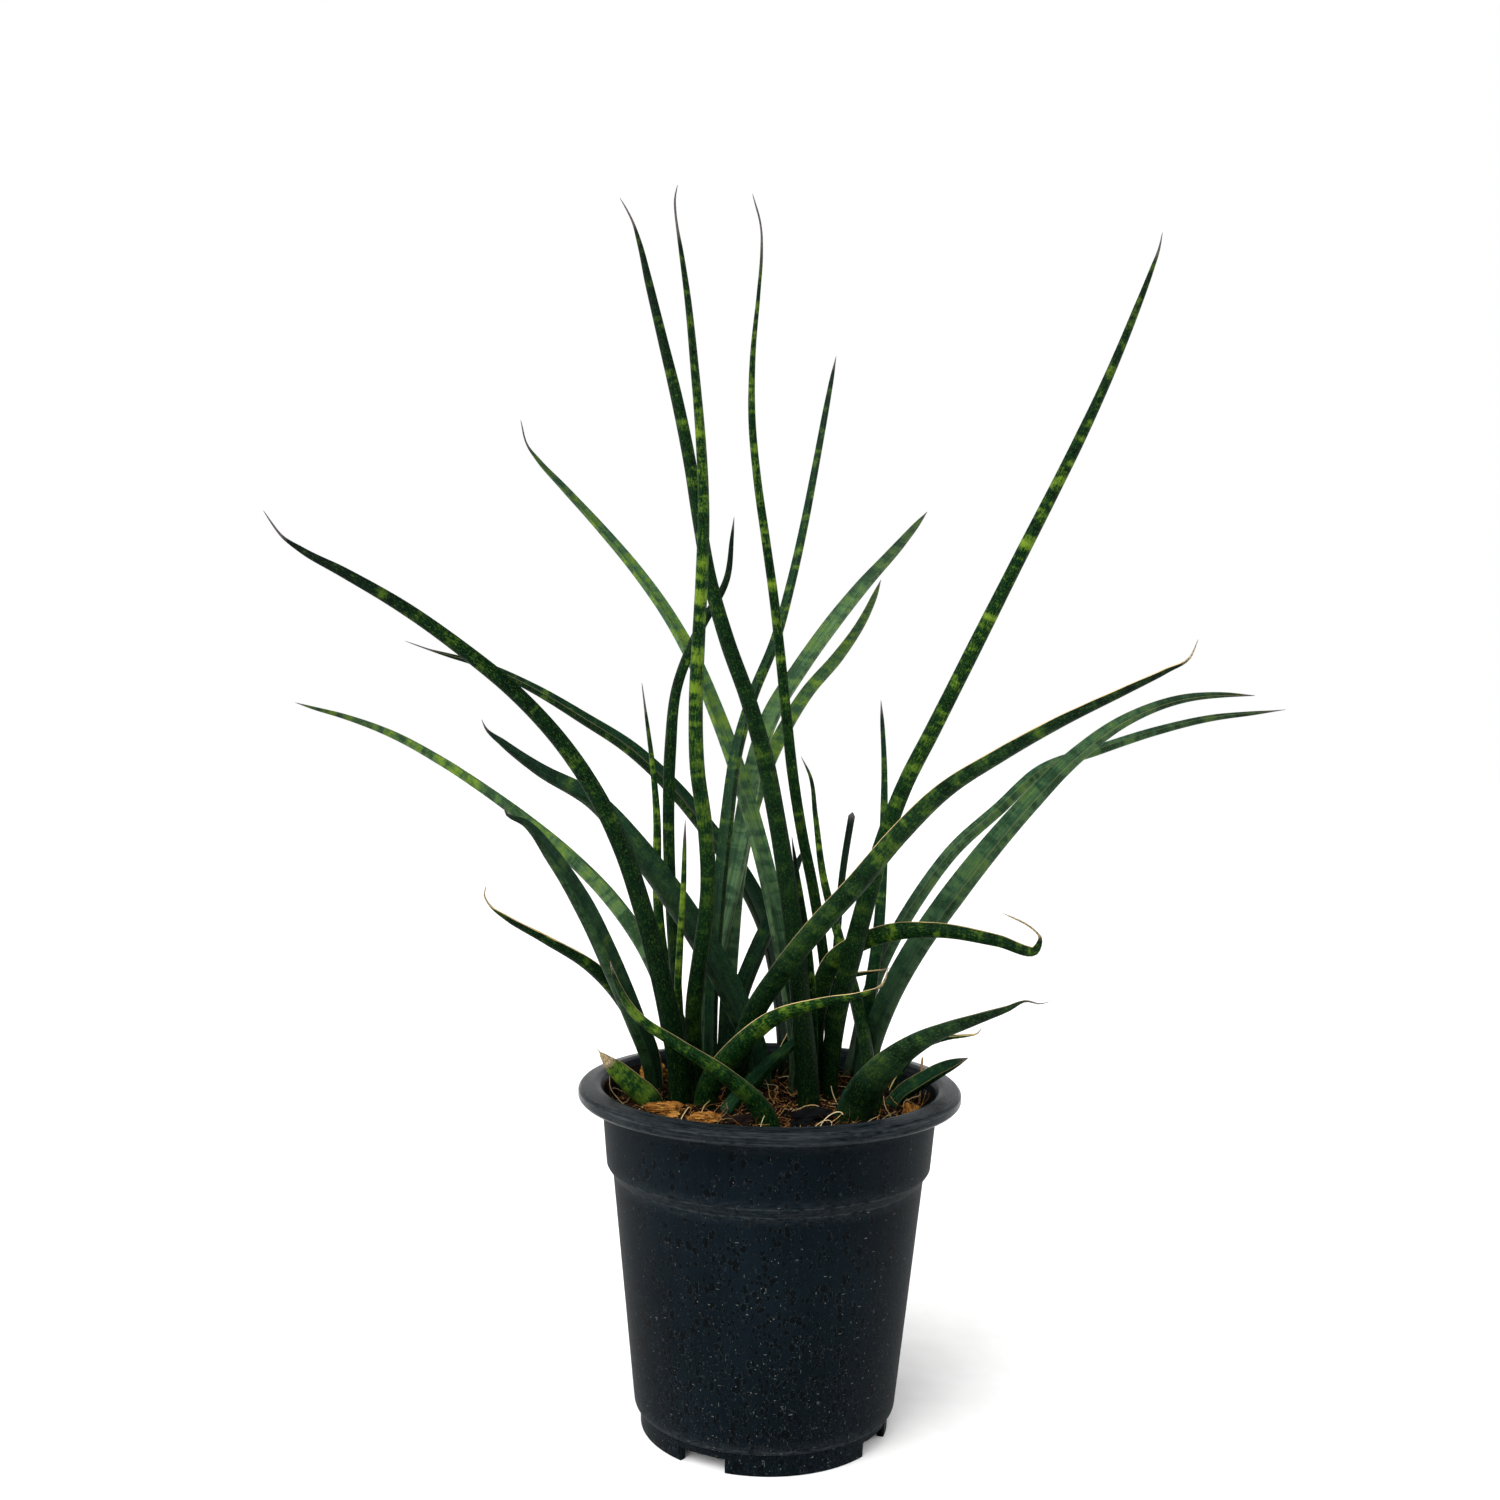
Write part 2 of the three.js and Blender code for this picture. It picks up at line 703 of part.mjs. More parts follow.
// The filling of the pot, with a rough top, before the pockets are cut.
function soilBlock() {
  const edge = SOIL_LEVEL - SOIL_EDGE_DROP;
  const wallSlope = (BAND_TOP_RADIUS - BAND_BOTTOM_RADIUS) / (POT_HEIGHT - 8 - BAND_BOTTOM_Z);
  const edgeRadius = BAND_BOTTOM_RADIUS - WALL - GAP + wallSlope * (edge - BAND_BOTTOM_Z);
  const block = lathe(
    [
      [0, FLOOR_TOP + GAP],
      [BODY_BOTTOM_RADIUS - 4.5, FLOOR_TOP + GAP],
      [BODY_BOTTOM_RADIUS - WALL - GAP, FLOOR_TOP + 4.5],
      [BODY_TOP_RADIUS - WALL - GAP, BODY_TOP_Z + 0.5],
      [BAND_BOTTOM_RADIUS - WALL - GAP - 0.2, BAND_BOTTOM_Z + 1.2],
      [edgeRadius, edge],
      [60, SOIL_LEVEL],
      [46, SOIL_LEVEL],
      [31, SOIL_LEVEL],
      [15, SOIL_LEVEL],
      [0, SOIL_LEVEL],
    ],
    SOIL_SEGMENTS,
  );
  const position = block.attributes.position;
  for (let i = 0; i < position.count; i++) {
    if (position.getZ(i) > edge + 0.1) {
      position.setZ(i, position.getZ(i) + soilBump(position.getX(i), position.getY(i)));
    }
  }
  return solidOf(block);
}

// The soil, with a pocket round everything that stands or lies in it.
function soilMesh() {
  let solid = soilBlock();
  for (const leaf of LEAVES) {
    solid = solid.subtract(solidOf(leafGeometry(leaf, GAP)));
  }
  for (const piece of LOOSE_PIECES) {
    solid = solid.subtract(solidOf(looseGeometry(piece, GAP)));
  }
  solid = solid.subtract(solidOf(twigGeometry(GAP)));
  return namedMesh("soil", geometryOf(solid), soilMaterial());
}

// ---- The plant ----

const plant = new THREE.Group();
plant.add(potMesh());
plant.add(soilMesh());
for (const leaf of LEAVES) {
  plant.add(leafMesh(leaf));
}
for (const piece of LOOSE_PIECES) {
  plant.add(looseMesh(piece));
}
plant.add(twigMesh());

export default plant;
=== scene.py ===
import json
import math
import random

import bpy
import numpy as np
from mathutils import Matrix, Vector, noise


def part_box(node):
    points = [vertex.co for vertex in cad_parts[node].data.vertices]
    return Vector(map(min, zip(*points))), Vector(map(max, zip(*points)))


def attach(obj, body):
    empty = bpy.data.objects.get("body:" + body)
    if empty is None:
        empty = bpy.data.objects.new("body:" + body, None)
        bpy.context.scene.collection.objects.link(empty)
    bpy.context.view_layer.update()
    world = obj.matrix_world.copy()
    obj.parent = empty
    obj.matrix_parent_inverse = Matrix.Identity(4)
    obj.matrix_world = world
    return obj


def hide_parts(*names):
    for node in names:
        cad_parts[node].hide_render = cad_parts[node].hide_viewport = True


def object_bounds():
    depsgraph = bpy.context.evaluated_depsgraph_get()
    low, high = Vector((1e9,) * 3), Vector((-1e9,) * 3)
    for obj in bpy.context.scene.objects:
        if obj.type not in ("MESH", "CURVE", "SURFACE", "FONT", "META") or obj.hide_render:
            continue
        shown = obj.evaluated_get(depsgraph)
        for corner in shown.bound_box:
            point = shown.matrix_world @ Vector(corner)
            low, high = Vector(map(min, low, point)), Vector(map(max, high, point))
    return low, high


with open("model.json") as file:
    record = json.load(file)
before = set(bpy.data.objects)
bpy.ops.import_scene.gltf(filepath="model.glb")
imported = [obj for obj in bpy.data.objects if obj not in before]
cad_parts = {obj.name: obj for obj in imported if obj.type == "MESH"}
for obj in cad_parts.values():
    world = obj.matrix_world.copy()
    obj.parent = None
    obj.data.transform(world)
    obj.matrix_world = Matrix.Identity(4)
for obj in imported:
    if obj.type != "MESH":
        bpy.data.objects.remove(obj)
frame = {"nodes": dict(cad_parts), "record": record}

MM = 0.001
CAD_BOX = [list(corner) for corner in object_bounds()]
RANDOM = random.Random(7)

# ---- Camera, light and floor ----

# The camera looks along y, a little down, and leans a little. Lens and sensor are in millimetres.
CAMERA_PLACE = Vector((-11, -693.5, 315.1)) * MM
CAMERA_DOWN = math.radians(1.93)
CAMERA_ROLL = math.radians(0.99)
CAMERA_LENS = 38.67
CAMERA_SENSOR = 36

LIGHTS = [
    # name, place, size, watts, what it looks at
    ("key_front", (-0.9, -1.5, 1.5), 1.1, 14, (0, 0, 0.25)),
    ("side_left", (-1.5, 0.3, 0.5), 0.9, 10, (0, 0, 0.2)),
    ("side_right", (1.5, 0.3, 0.5), 0.9, 10, (0, 0, 0.2)),
]
# A very soft sun stands in for a large panel overhead.
SUN_TURN = (math.radians(40), 0, math.radians(-30))
SUN_SOFTNESS = math.radians(75)
SUN_STRENGTH = 3.9
# A white wall stands all round and fades into a dimmer ceiling between two heights.
WALL_BRIGHT = 1.0
CEILING_DIM = 0.2
WALL_TOP = (0.42, 0.62)
FLOOR_HALF = 6.0


def new_object(name, data):
    made = bpy.data.objects.new(name, data)
    bpy.context.scene.collection.objects.link(made)
    return made


def new_mesh(name, points, faces):
    mesh = bpy.data.meshes.new(name)
    mesh.from_pydata([tuple(p) for p in points], [], [tuple(int(i) for i in face) for face in faces])
    return mesh


def add_camera():
    camera = new_object("camera", bpy.data.cameras.new("camera"))
    camera.data.lens = CAMERA_LENS
    camera.data.sensor_width = CAMERA_SENSOR
    tilt = Matrix.Rotation(math.pi / 2 - CAMERA_DOWN, 4, "X")
    roll = Matrix.Rotation(CAMERA_ROLL, 4, "Z")
    camera.matrix_world = Matrix.Translation(CAMERA_PLACE) @ tilt @ roll
    bpy.context.scene.camera = camera


def add_lights():
    for name, place, size, watts, target in LIGHTS:
        light = bpy.data.lights.new(name, "AREA")
        light.size = size
        light.energy = watts
        lamp = new_object(name, light)
        lamp.location = place
        lamp.rotation_euler = (Vector(target) - Vector(place)).to_track_quat("-Z", "Y").to_euler()
    sun = bpy.data.lights.new("sky_panel", "SUN")
    sun.angle = SUN_SOFTNESS
    sun.energy = SUN_STRENGTH
    new_object("sky_panel", sun).rotation_euler = SUN_TURN


def add_walls():
    world = bpy.data.worlds.new("studio")
    world.use_nodes = True
    tree = world.node_tree
    direction = tree.nodes.new("ShaderNodeTexCoord")
    split = tree.nodes.new("ShaderNodeSeparateXYZ")
    rise = tree.nodes.new("ShaderNodeMapRange")
    rise.interpolation_type = "SMOOTHSTEP"
    limits = (*WALL_TOP, WALL_BRIGHT, CEILING_DIM)
    for key, value in zip(("From Min", "From Max", "To Min", "To Max"), limits):
        rise.inputs[key].default_value = value
    tree.links.new(direction.outputs["Generated"], split.inputs["Vector"])
    tree.links.new(split.outputs["Z"], rise.inputs["Value"])
    background = tree.nodes["Background"]
    background.inputs["Color"].default_value = (1, 1, 1, 1)
    tree.links.new(rise.outputs["Result"], background.inputs["Strength"])
    bpy.context.scene.world = world
    bpy.context.scene.view_settings.view_transform = "Standard"


def add_floor():
    corners = [(x * FLOOR_HALF, y * FLOOR_HALF, 0) for x, y in ((-1, -1), (1, -1), (1, 1), (-1, 1))]
    floor = new_object("floor", new_mesh("floor", corners, [(0, 1, 2, 3)]))
    shade = Shade("floor_paper")
    grain = shade.noise(shade.place(), 60, detail=3)
    shade.color(shade.ramp(grain, [(0.3, (0.88, 0.88, 0.875)), (0.7, (0.92, 0.92, 0.915))]))
    shade.plain(roughness=0.9)
    floor.data.materials.append(shade.material)


# ---- Materials ----


class Shade:
    """A material's node tree, with short calls for the nodes that this file uses."""

    def __init__(self, name):
        self.material = bpy.data.materials.new(name)
        self.material.use_nodes = True
        self.tree = self.material.node_tree
        self.shader = self.tree.nodes["Principled BSDF"]

    def node(self, kind, inputs=None, **settings):
        made = self.tree.nodes.new("ShaderNode" + kind)
        for key, value in settings.items():
            setattr(made, key, value)
        for key, value in (inputs or {}).items():
            if isinstance(value, bpy.types.NodeSocket):
                self.tree.links.new(value, made.inputs[key])
            else:
                made.inputs[key].default_value = value
        return made

    def place(self):
        return self.node("TexCoord").outputs["Object"]

    def value(self, name):
        return self.node("Attribute", attribute_name=name).outputs["Fac"]

    def vector(self, name):
        return self.node("Attribute", attribute_name=name).outputs["Vector"]

    def scaled(self, vector, factors):
        return self.node("VectorMath", {0: vector, 1: factors}, operation="MULTIPLY").outputs[0]

    def noise(self, vector, scale, detail=4, rough=0.55, distortion=0.0):
        inputs = {"Vector": vector, "Scale": scale, "Detail": detail}
        inputs.update({"Roughness": rough, "Distortion": distortion})
        return self.node("TexNoise", inputs).outputs["Fac"]

    def cells(self, vector, scale):
        return self.node("TexVoronoi", {"Vector": vector, "Scale": scale}).outputs["Distance"]

    def math(self, operation, a, b=0.0, clamp=False):
        return self.node("Math", {0: a, 1: b}, operation=operation, use_clamp=clamp).outputs[0]

    def times(self, a, b):
        return self.math("MULTIPLY", a, b)

    def plus(self, a, b, clamp=False):
        return self.math("ADD", a, b, clamp)

    def minus(self, a, b=0.5):
        return self.math("SUBTRACT", a, b)

    def step(self, value, low, high):
        """0 at low, 1 at high and a smooth way between; it falls where low is above high."""
        inputs = {"Value": value, "From Min": low, "From Max": high}
        return self.node("MapRange", inputs, interpolation_type="SMOOTHSTEP").outputs["Result"]

    def mix(self, factor, a, b):
        return self.node("Mix", {0: factor, 6: self.rgba(a), 7: self.rgba(b)}, data_type="RGBA").outputs[2]

    def rgba(self, color):
        return color if isinstance(color, bpy.types.NodeSocket) else (*color, 1)

    def ramp(self, value, stops):
        made = self.node("ValToRGB", {"Fac": value})
        elements = made.color_ramp.elements
        while len(elements) < len(stops):
            elements.new(0.5)
        for element, (position, color) in zip(elements, stops):
            element.position = position
            element.color = (*color, 1)
        return made.outputs["Color"]

    def bump(self, height, distance, strength=1.0, normal=None):
        inputs = {"Height": height, "Distance": distance, "Strength": strength}
        if normal is not None:
            inputs["Normal"] = normal
        return self.node("Bump", inputs).outputs["Normal"]

    def color(self, socket):
        self.tree.links.new(socket, self.shader.inputs["Base Color"])

    def rough(self, socket):
        self.tree.links.new(socket, self.shader.inputs["Roughness"])

    def normal(self, socket):
        self.tree.links.new(socket, self.shader.inputs["Normal"])

    def plain(self, roughness=None, specular=None):
        """Values that are the same all over the surface."""
        for key, value in (("Roughness", roughness), ("Specular IOR Level", specular)):
            if value is not None:
                self.shader.inputs[key].default_value = value


LEAF_BLACK_GREEN = (0.0003, 0.0034, 0.0013)
LEAF_DARK = (0.0006, 0.0066, 0.0021)
LEAF_GREEN = (0.0026, 0.0235, 0.0054)
LEAF_BLOOM = (0.16, 0.29, 0.16)
LEAF_LIGHT = (0.048, 0.096, 0.009)
LEAF_PALE = (0.17, 0.255, 0.02)
LEAF_SHEEN = (0.012, 0.045, 0.026)
LEAF_DUSK = (0.004, 0.005, 0.006)
LEAF_SPECK = (0.07, 0.14, 0.045)
LEAF_TAN = (0.45, 0.33, 0.15)
LEAF_STRAW = (0.42, 0.32, 0.17)
LEAF_DRY = (0.045, 0.038, 0.034)
LEAF_THREAD = (0.085, 0.075, 0.075)


def leaf_shade():
    """Green with ragged cross bands, a painted sheen on the channel, painted shade towards the foot, pale
    margins and a dried tip.
    """
    shade = Shade("leaf")
    times, plus, minus, step, mix = shade.times, shade.plus, shade.minus, shade.step, shade.mix
    skin = shade.vector("skin")
    along, channel, edge, dry = (shade.value(name) for name in ("along", "channel", "edge", "dry"))
    light, banding, bloom, pale = (shade.value(name) for name in COLOUR_LOOKS)

    def pattern(across, along, **settings):
        return shade.noise(shade.scaled(skin, (across, along, 1)), 1.0, **settings)

    # Cross bands: broad across the leaf, short along it, broken into lengthwise flecks.
    waves = pattern(0.03, 0.145, detail=2.5, rough=0.6, distortion=0.3)
    blotches = pattern(0.17, 0.24, detail=3, rough=0.6)
    flecks = pattern(1.5, 0.28, detail=3, rough=0.65)
    grain = pattern(3.2, 1.1, detail=2, rough=0.6)
    mottle = plus(times(waves, 0.62), times(blotches, 0.38))
    ragged = plus(mottle, times(minus(flecks), 0.34))
    ragged = plus(ragged, times(minus(grain), 0.2))
    ragged = plus(ragged, times(minus(light), 0.16))
    shadow = step(ragged, 0.47, 0.36)

    # The green itself: darker towards the foot, partly the leaf's own darker green there and partly painted
    # shade where the leaves crowd, and whitish on leaves with a bloom.
    fresh = plus(times(light, 0.75), minus(flecks), True)
    ground = mix(fresh, LEAF_DARK, LEAF_GREEN)
    ground = mix(times(shadow, 0.8), ground, LEAF_BLACK_GREEN)
    # Painted shade: towards its foot the green turns almost black, standing in for the shade among the
    # crowded leaves; the light dots thin out there too.
    foot_shade = step(along, 0.42, 0.02)
    ground = mix(times(foot_shade, 0.82), ground, LEAF_BLACK_GREEN)
    rising = plus(step(along, 0.1, 0.6), 0.35, True)
    lines = step(pattern(1.1, 0.015, detail=3), 0.3, 0.6)
    lined = plus(times(lines, 0.55), 0.45)
    patchy = times(plus(times(step(mottle, 0.43, 0.56), 0.7), 0.3), lined)
    ground = mix(times(bloom, times(rising, patchy)), ground, LEAF_BLOOM)

    # Fine light dots, then the bands with their paler hearts, which fade towards the foot.
    sand = pattern(1.5, 0.95, detail=2, rough=0.7)
    dots = step(plus(sand, times(light, 0.04)), 0.56, 0.66)
    dots = times(dots, minus(0.36, times(foot_shade, 0.12)))
    ground = mix(dots, ground, LEAF_LIGHT)
    banding = times(banding, plus(step(along, 0.2, 0.6), 0.1, True))
    band = times(step(ragged, 0.51, 0.58), banding)
    heart = times(step(ragged, 0.57, 0.68), banding)
    body = mix(times(band, 0.85), ground, LEAF_LIGHT)
    body = mix(times(heart, 0.45), body, LEAF_PALE)

    # The channel's face gets a painted sheen: greyer, with fine lengthwise streaks.
    streaks = pattern(2.4, 0.05, detail=3)
    channel_sheen = times(channel, step(streaks, 0.3, 0.75))
    body = mix(times(channel_sheen, 0.55), body, LEAF_SHEEN)

    # Dark, purplish upper end; pale specks; tan margins; dried tip.
    dusk = times(step(along, 0.72, 0.99), 0.55)
    body = mix(dusk, body, LEAF_DUSK)
    specks = step(shade.cells(shade.scaled(skin, (0.55, 0.4, 1)), 1.0), 0.09, 0.05)
    body = mix(times(specks, 0.3), body, LEAF_SPECK)
    worn = pattern(0.02, 0.06, detail=3)
    reach = times(minus(worn, 0.22), times(pale, 1.9))
    rim = step(minus(edge, reach), 0.14, 0.0)
    grown = plus(step(along, 0.15, 0.55), step(pale, 0.45, 0.65), True)
    rim = times(rim, times(grown, step(pale, 0.02, 0.3)))
    body = mix(rim, body, LEAF_TAN)
    straw = mix(step(pale, 0.1, 0.4), LEAF_THREAD, LEAF_STRAW)
    crisp = mix(step(grain, 0.35, 0.65), LEAF_DRY, straw)
    shade.color(mix(dry, body, crisp))

    ridges = pattern(2.2, 0.02, detail=2)
    pores = pattern(4.5, 3.0, detail=2)
    shade.normal(shade.bump(pores, 0.00006, 0.5, shade.bump(ridges, 0.00022, 0.6)))
    matt = plus(0.34, times(pores, 0.22))
    shade.rough(plus(matt, times(dry, 0.4), True))
    shade.plain(specular=0.026)
    return shade.material


POT_BLACK = (0.0006, 0.0024, 0.0039)
POT_GREY = (0.0019, 0.0052, 0.0078)
POT_DROP = (0.0001, 0.0005, 0.0008)
POT_DUST = (0.15, 0.16, 0.15)
POT_SCUFF = (0.026, 0.031, 0.034)


def speckles(shade, skin, scale, size, share, seed):
    """Marks of about one size in a share of the cells of a pattern.

    It gives the marks, the distance from each cell's middle, each mark's reach, and which cells
    have one.
    """
    across, along = scale
    stretched = shade.scaled(skin, (across, across, along))
    shifted = shade.node("VectorMath", {0: stretched, 1: (0, 0, seed)}).outputs[0]
    bend = shade.node("TexNoise", {"Vector": skin, "Scale": 0.9, "Detail": 1.0}).outputs["Color"]
    bend = shade.node("VectorMath", {0: bend, 1: (0.45, 0.45, 0.45)}, operation="MULTIPLY").outputs[0]
    bent = shade.node("VectorMath", {0: shifted, 1: bend}, operation="ADD").outputs[0]
    cells = shade.node("TexVoronoi", {"Vector": bent, "Scale": 1.0})
    chosen = shade.node("SeparateColor", {"Color": cells.outputs["Color"]}).outputs["Red"]
    sized = shade.node("SeparateColor", {"Color": cells.outputs["Color"]}).outputs["Green"]
    reach = shade.times(shade.plus(sized, 0.45), size)
    inside = shade.step(shade.minus(cells.outputs["Distance"], reach), 0.0, -0.25 * size)
    here = shade.math("LESS_THAN", chosen, share)
    return shade.times(inside, here), cells.outputs["Distance"], reach, here


def pot_shade():
    """Matte black plastic with dried drops, dust specks, short scratches, and worn edges that also carry a
    painted highlight.
    """
    shade = Shade("pot_plastic")
    times, plus, minus, step, mix = shade.times, shade.plus, shade.minus, shade.step, shade.mix
    skin = shade.vector("skin")

    def pattern(around, along, **settings):
        return shade.noise(shade.scaled(skin, (around, around, along)), 1.0, **settings)

    low = shade.value("low")
    worn = shade.value("worn")
    rim = shade.value("rim")

    clouds = pattern(0.03, 0.015, detail=4, rough=0.6)
    streaks = pattern(0.5, 0.012, detail=4, rough=0.6)
    film = pattern(0.8, 0.5, detail=5, rough=0.75)
    tone = plus(times(clouds, 0.45), times(streaks, 0.15))
    tone = plus(tone, times(film, 0.4))
    greyed = step(tone, 0.38, 0.64)
    greyed = times(greyed, minus(1.0, times(rim, 0.75)))
    body = mix(greyed, POT_BLACK, POT_GREY)

    # Round marks where drops dried, darker than the dusty wall round them, some with a pale rim.
    open_wall = minus(1.0, rim)
    drops = times(plus(low, 0.4), 0.75)
    for scale, size, seed in (((0.24, 0.2), 0.36, 3.0), ((0.44, 0.38), 0.35, 9.0)):
        mark, distance, reach, here = speckles(shade, skin, scale, size, drops, seed)
        mark = times(mark, open_wall)
        body = mix(times(mark, 0.75), body, POT_DROP)
        off = shade.math("ABSOLUTE", minus(distance, reach))
        ring = times(step(off, 0.045, 0.0), times(here, open_wall))
        ring = times(ring, step(film, 0.44, 0.6))
        body = mix(times(ring, 0.6), body, POT_SCUFF)

    # Dust: specks and short crescents that get denser towards the foot.
    for scale, size, share, strength, seed in (
        ((0.6, 0.6), 0.17, 0.14, 0.42, 1.0),
        ((1.3, 1.3), 0.24, 0.14, 0.22, 5.0),
        ((0.9, 0.2), 0.15, 0.12, 0.32, 12.0),
        ((0.2, 0.95), 0.16, 0.18, 0.42, 17.0),
    ):
        amount = times(shade.math("POWER", low, 1.6), share)
        fleck = speckles(shade, skin, scale, size, plus(amount, 0.012), seed)[0]
        body = mix(times(fleck, strength), body, POT_DUST)

    # Edges are painted lighter, as rubbed wear and as a painted highlight along them, and the lip has
    # scuffs that run round it.
    rub = step(pattern(0.25, 0.9, detail=4), 0.3, 0.65)
    body = mix(times(times(worn, rub), 0.7), body, POT_SCUFF)
    round_scuffs = pattern(0.045, 2.2, detail=4, rough=0.7)
    scuffs = times(step(round_scuffs, 0.44, 0.64), rim)
    body = mix(times(scuffs, 0.62), body, POT_SCUFF)
    shade.color(body)

    fine_grain = pattern(5.0, 5.0, detail=3)
    normal = shade.bump(streaks, 0.0003, 0.2)
    shade.normal(shade.bump(fine_grain, 0.00008, 0.5, normal))
    matt = plus(0.42, times(film, 0.24))
    shade.rough(minus(matt, times(rim, 0.3)))
    shade.plain(specular=0.03)
    return shade.material


def earth_shade(name, stops, scale, stretch=(1, 1, 1), skin=False, rough=0.92):
    """Crumbly or fibrous matter whose colour runs through the stops."""
    shade = Shade(name)
    place = shade.vector("skin") if skin else shade.place()
    tint = shade.value("tint")
    stretched = shade.scaled(place, stretch)
    broad = shade.noise(stretched, scale, detail=4, rough=0.65)
    fine = shade.noise(stretched, scale * 5, detail=3, rough=0.7)
    tone = shade.plus(shade.times(broad, 0.45), shade.times(fine, 0.25))
    tone = shade.plus(tone, shade.times(tint, 0.3))
    shade.color(shade.ramp(tone, stops))
    normal = shade.bump(broad, 0.0008, 0.6)
    shade.normal(shade.bump(fine, 0.0003, 0.7, normal))
    shade.plain(roughness=rough, specular=0.06)
    return shade.material


# ---- Meshes ----


def new_piece(name, points, faces, material, values=None, smooth=True):
    """A mesh that rides on the plant, with float or vector values stored at its points."""
    mesh = new_mesh(name, points, faces)
    mesh.update()
    for key, data in (values or {}).items():
        data = np.asarray(data, np.float32)
        kind = "FLOAT_VECTOR" if data.ndim == 2 else "FLOAT"
        layer = mesh.attributes.new(key, kind, "POINT")
        layer.data.foreach_set("vector" if data.ndim == 2 else "value", data.ravel())
    if smooth:
        mesh.polygons.foreach_set("use_smooth", [True] * len(mesh.polygons))
    piece = new_object(name, mesh)
    mesh.materials.append(material)
    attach(piece, "root")
    return piece


def grid_faces(rows, columns, closed=True):
    """Quads between neighbouring rows of points; closed joins each row's end to its start."""
    faces = []
    span = columns if closed else columns - 1
    for row in range(rows - 1):
        for column in range(span):
            a = row * columns + column
            b = row * columns + (column + 1) % columns
            faces.append((a, b, b + columns, a + columns))
    return faces


def tube(path, radii, sides):
    """Points and faces of a closed round tube along a path, capped flat at both ends."""
    path = np.asarray(path, float)
    tangents = np.gradient(path, axis=0)
    tangents /= np.linalg.norm(tangents, axis=1)[:, None] + 1e-12
    reference = np.array([0.31, 0.52, 0.79])
    across = np.cross(tangents, reference)
    across /= np.linalg.norm(across, axis=1)[:, None] + 1e-12
    up = np.cross(across, tangents)
    angles = np.arange(sides) * 2 * math.pi / sides
    circle = np.cos(angles)[None, :, None] * across[:, None] + np.sin(angles)[None, :, None] * up[:, None]
    rings = path[:, None] + circle * np.asarray(radii)[:, None, None]
    points = np.vstack([rings.reshape(-1, 3), path[:1], path[-1:]])
    count = len(path) * sides
    faces = grid_faces(len(path), sides)
    for i in range(sides):
        faces.append((count, (i + 1) % sides, i))
        last = (len(path) - 1) * sides
        faces.append((count + 1, last + i, last + (i + 1) % sides))
    return points, faces


class Heap:
    """Many small bodies gathered into one mesh."""

    def __init__(self):
        self.points = []
        self.faces = []
        self.tints = []
        self.count = 0

    def add(self, points, faces, tint):
        self.points.append(np.asarray(points))
        self.faces += [tuple(i + self.count for i in face) for face in faces]
        self.tints.append(np.full(len(points), tint))
        self.count += len(points)

    def piece(self, name, material, slot, smooth=True):
        values = {"tint": np.concatenate(self.tints)}
        return new_piece(name, np.vstack(self.points), self.faces, material, values, smooth)


# ---- Leaves ----

# The section of every leaf solid: across the leaf, and out of its channel.
SECTION = [
    (0.5, 0.24),
    (0.2, 0.12),
    (-0.2, 0.12),
    (-0.5, 0.24),
    (-0.43, -0.22),
    (-0.17, -0.48),
    (0.17, -0.48),
    (0.43, -0.22),
]
RING_CORNERS = len(SECTION)
MARGIN_HEIGHT = 0.24
UNDERSIDE_DEPTH = 0.48
LEAF_STEP = 1.8 * MM
TIP_WIDTH = 0.2 * MM
AROUND_CHANNEL = 14
AROUND_BACK = 20
CHANNEL_DEPTH = 0.17
BLUNT_END = 1.8 * MM

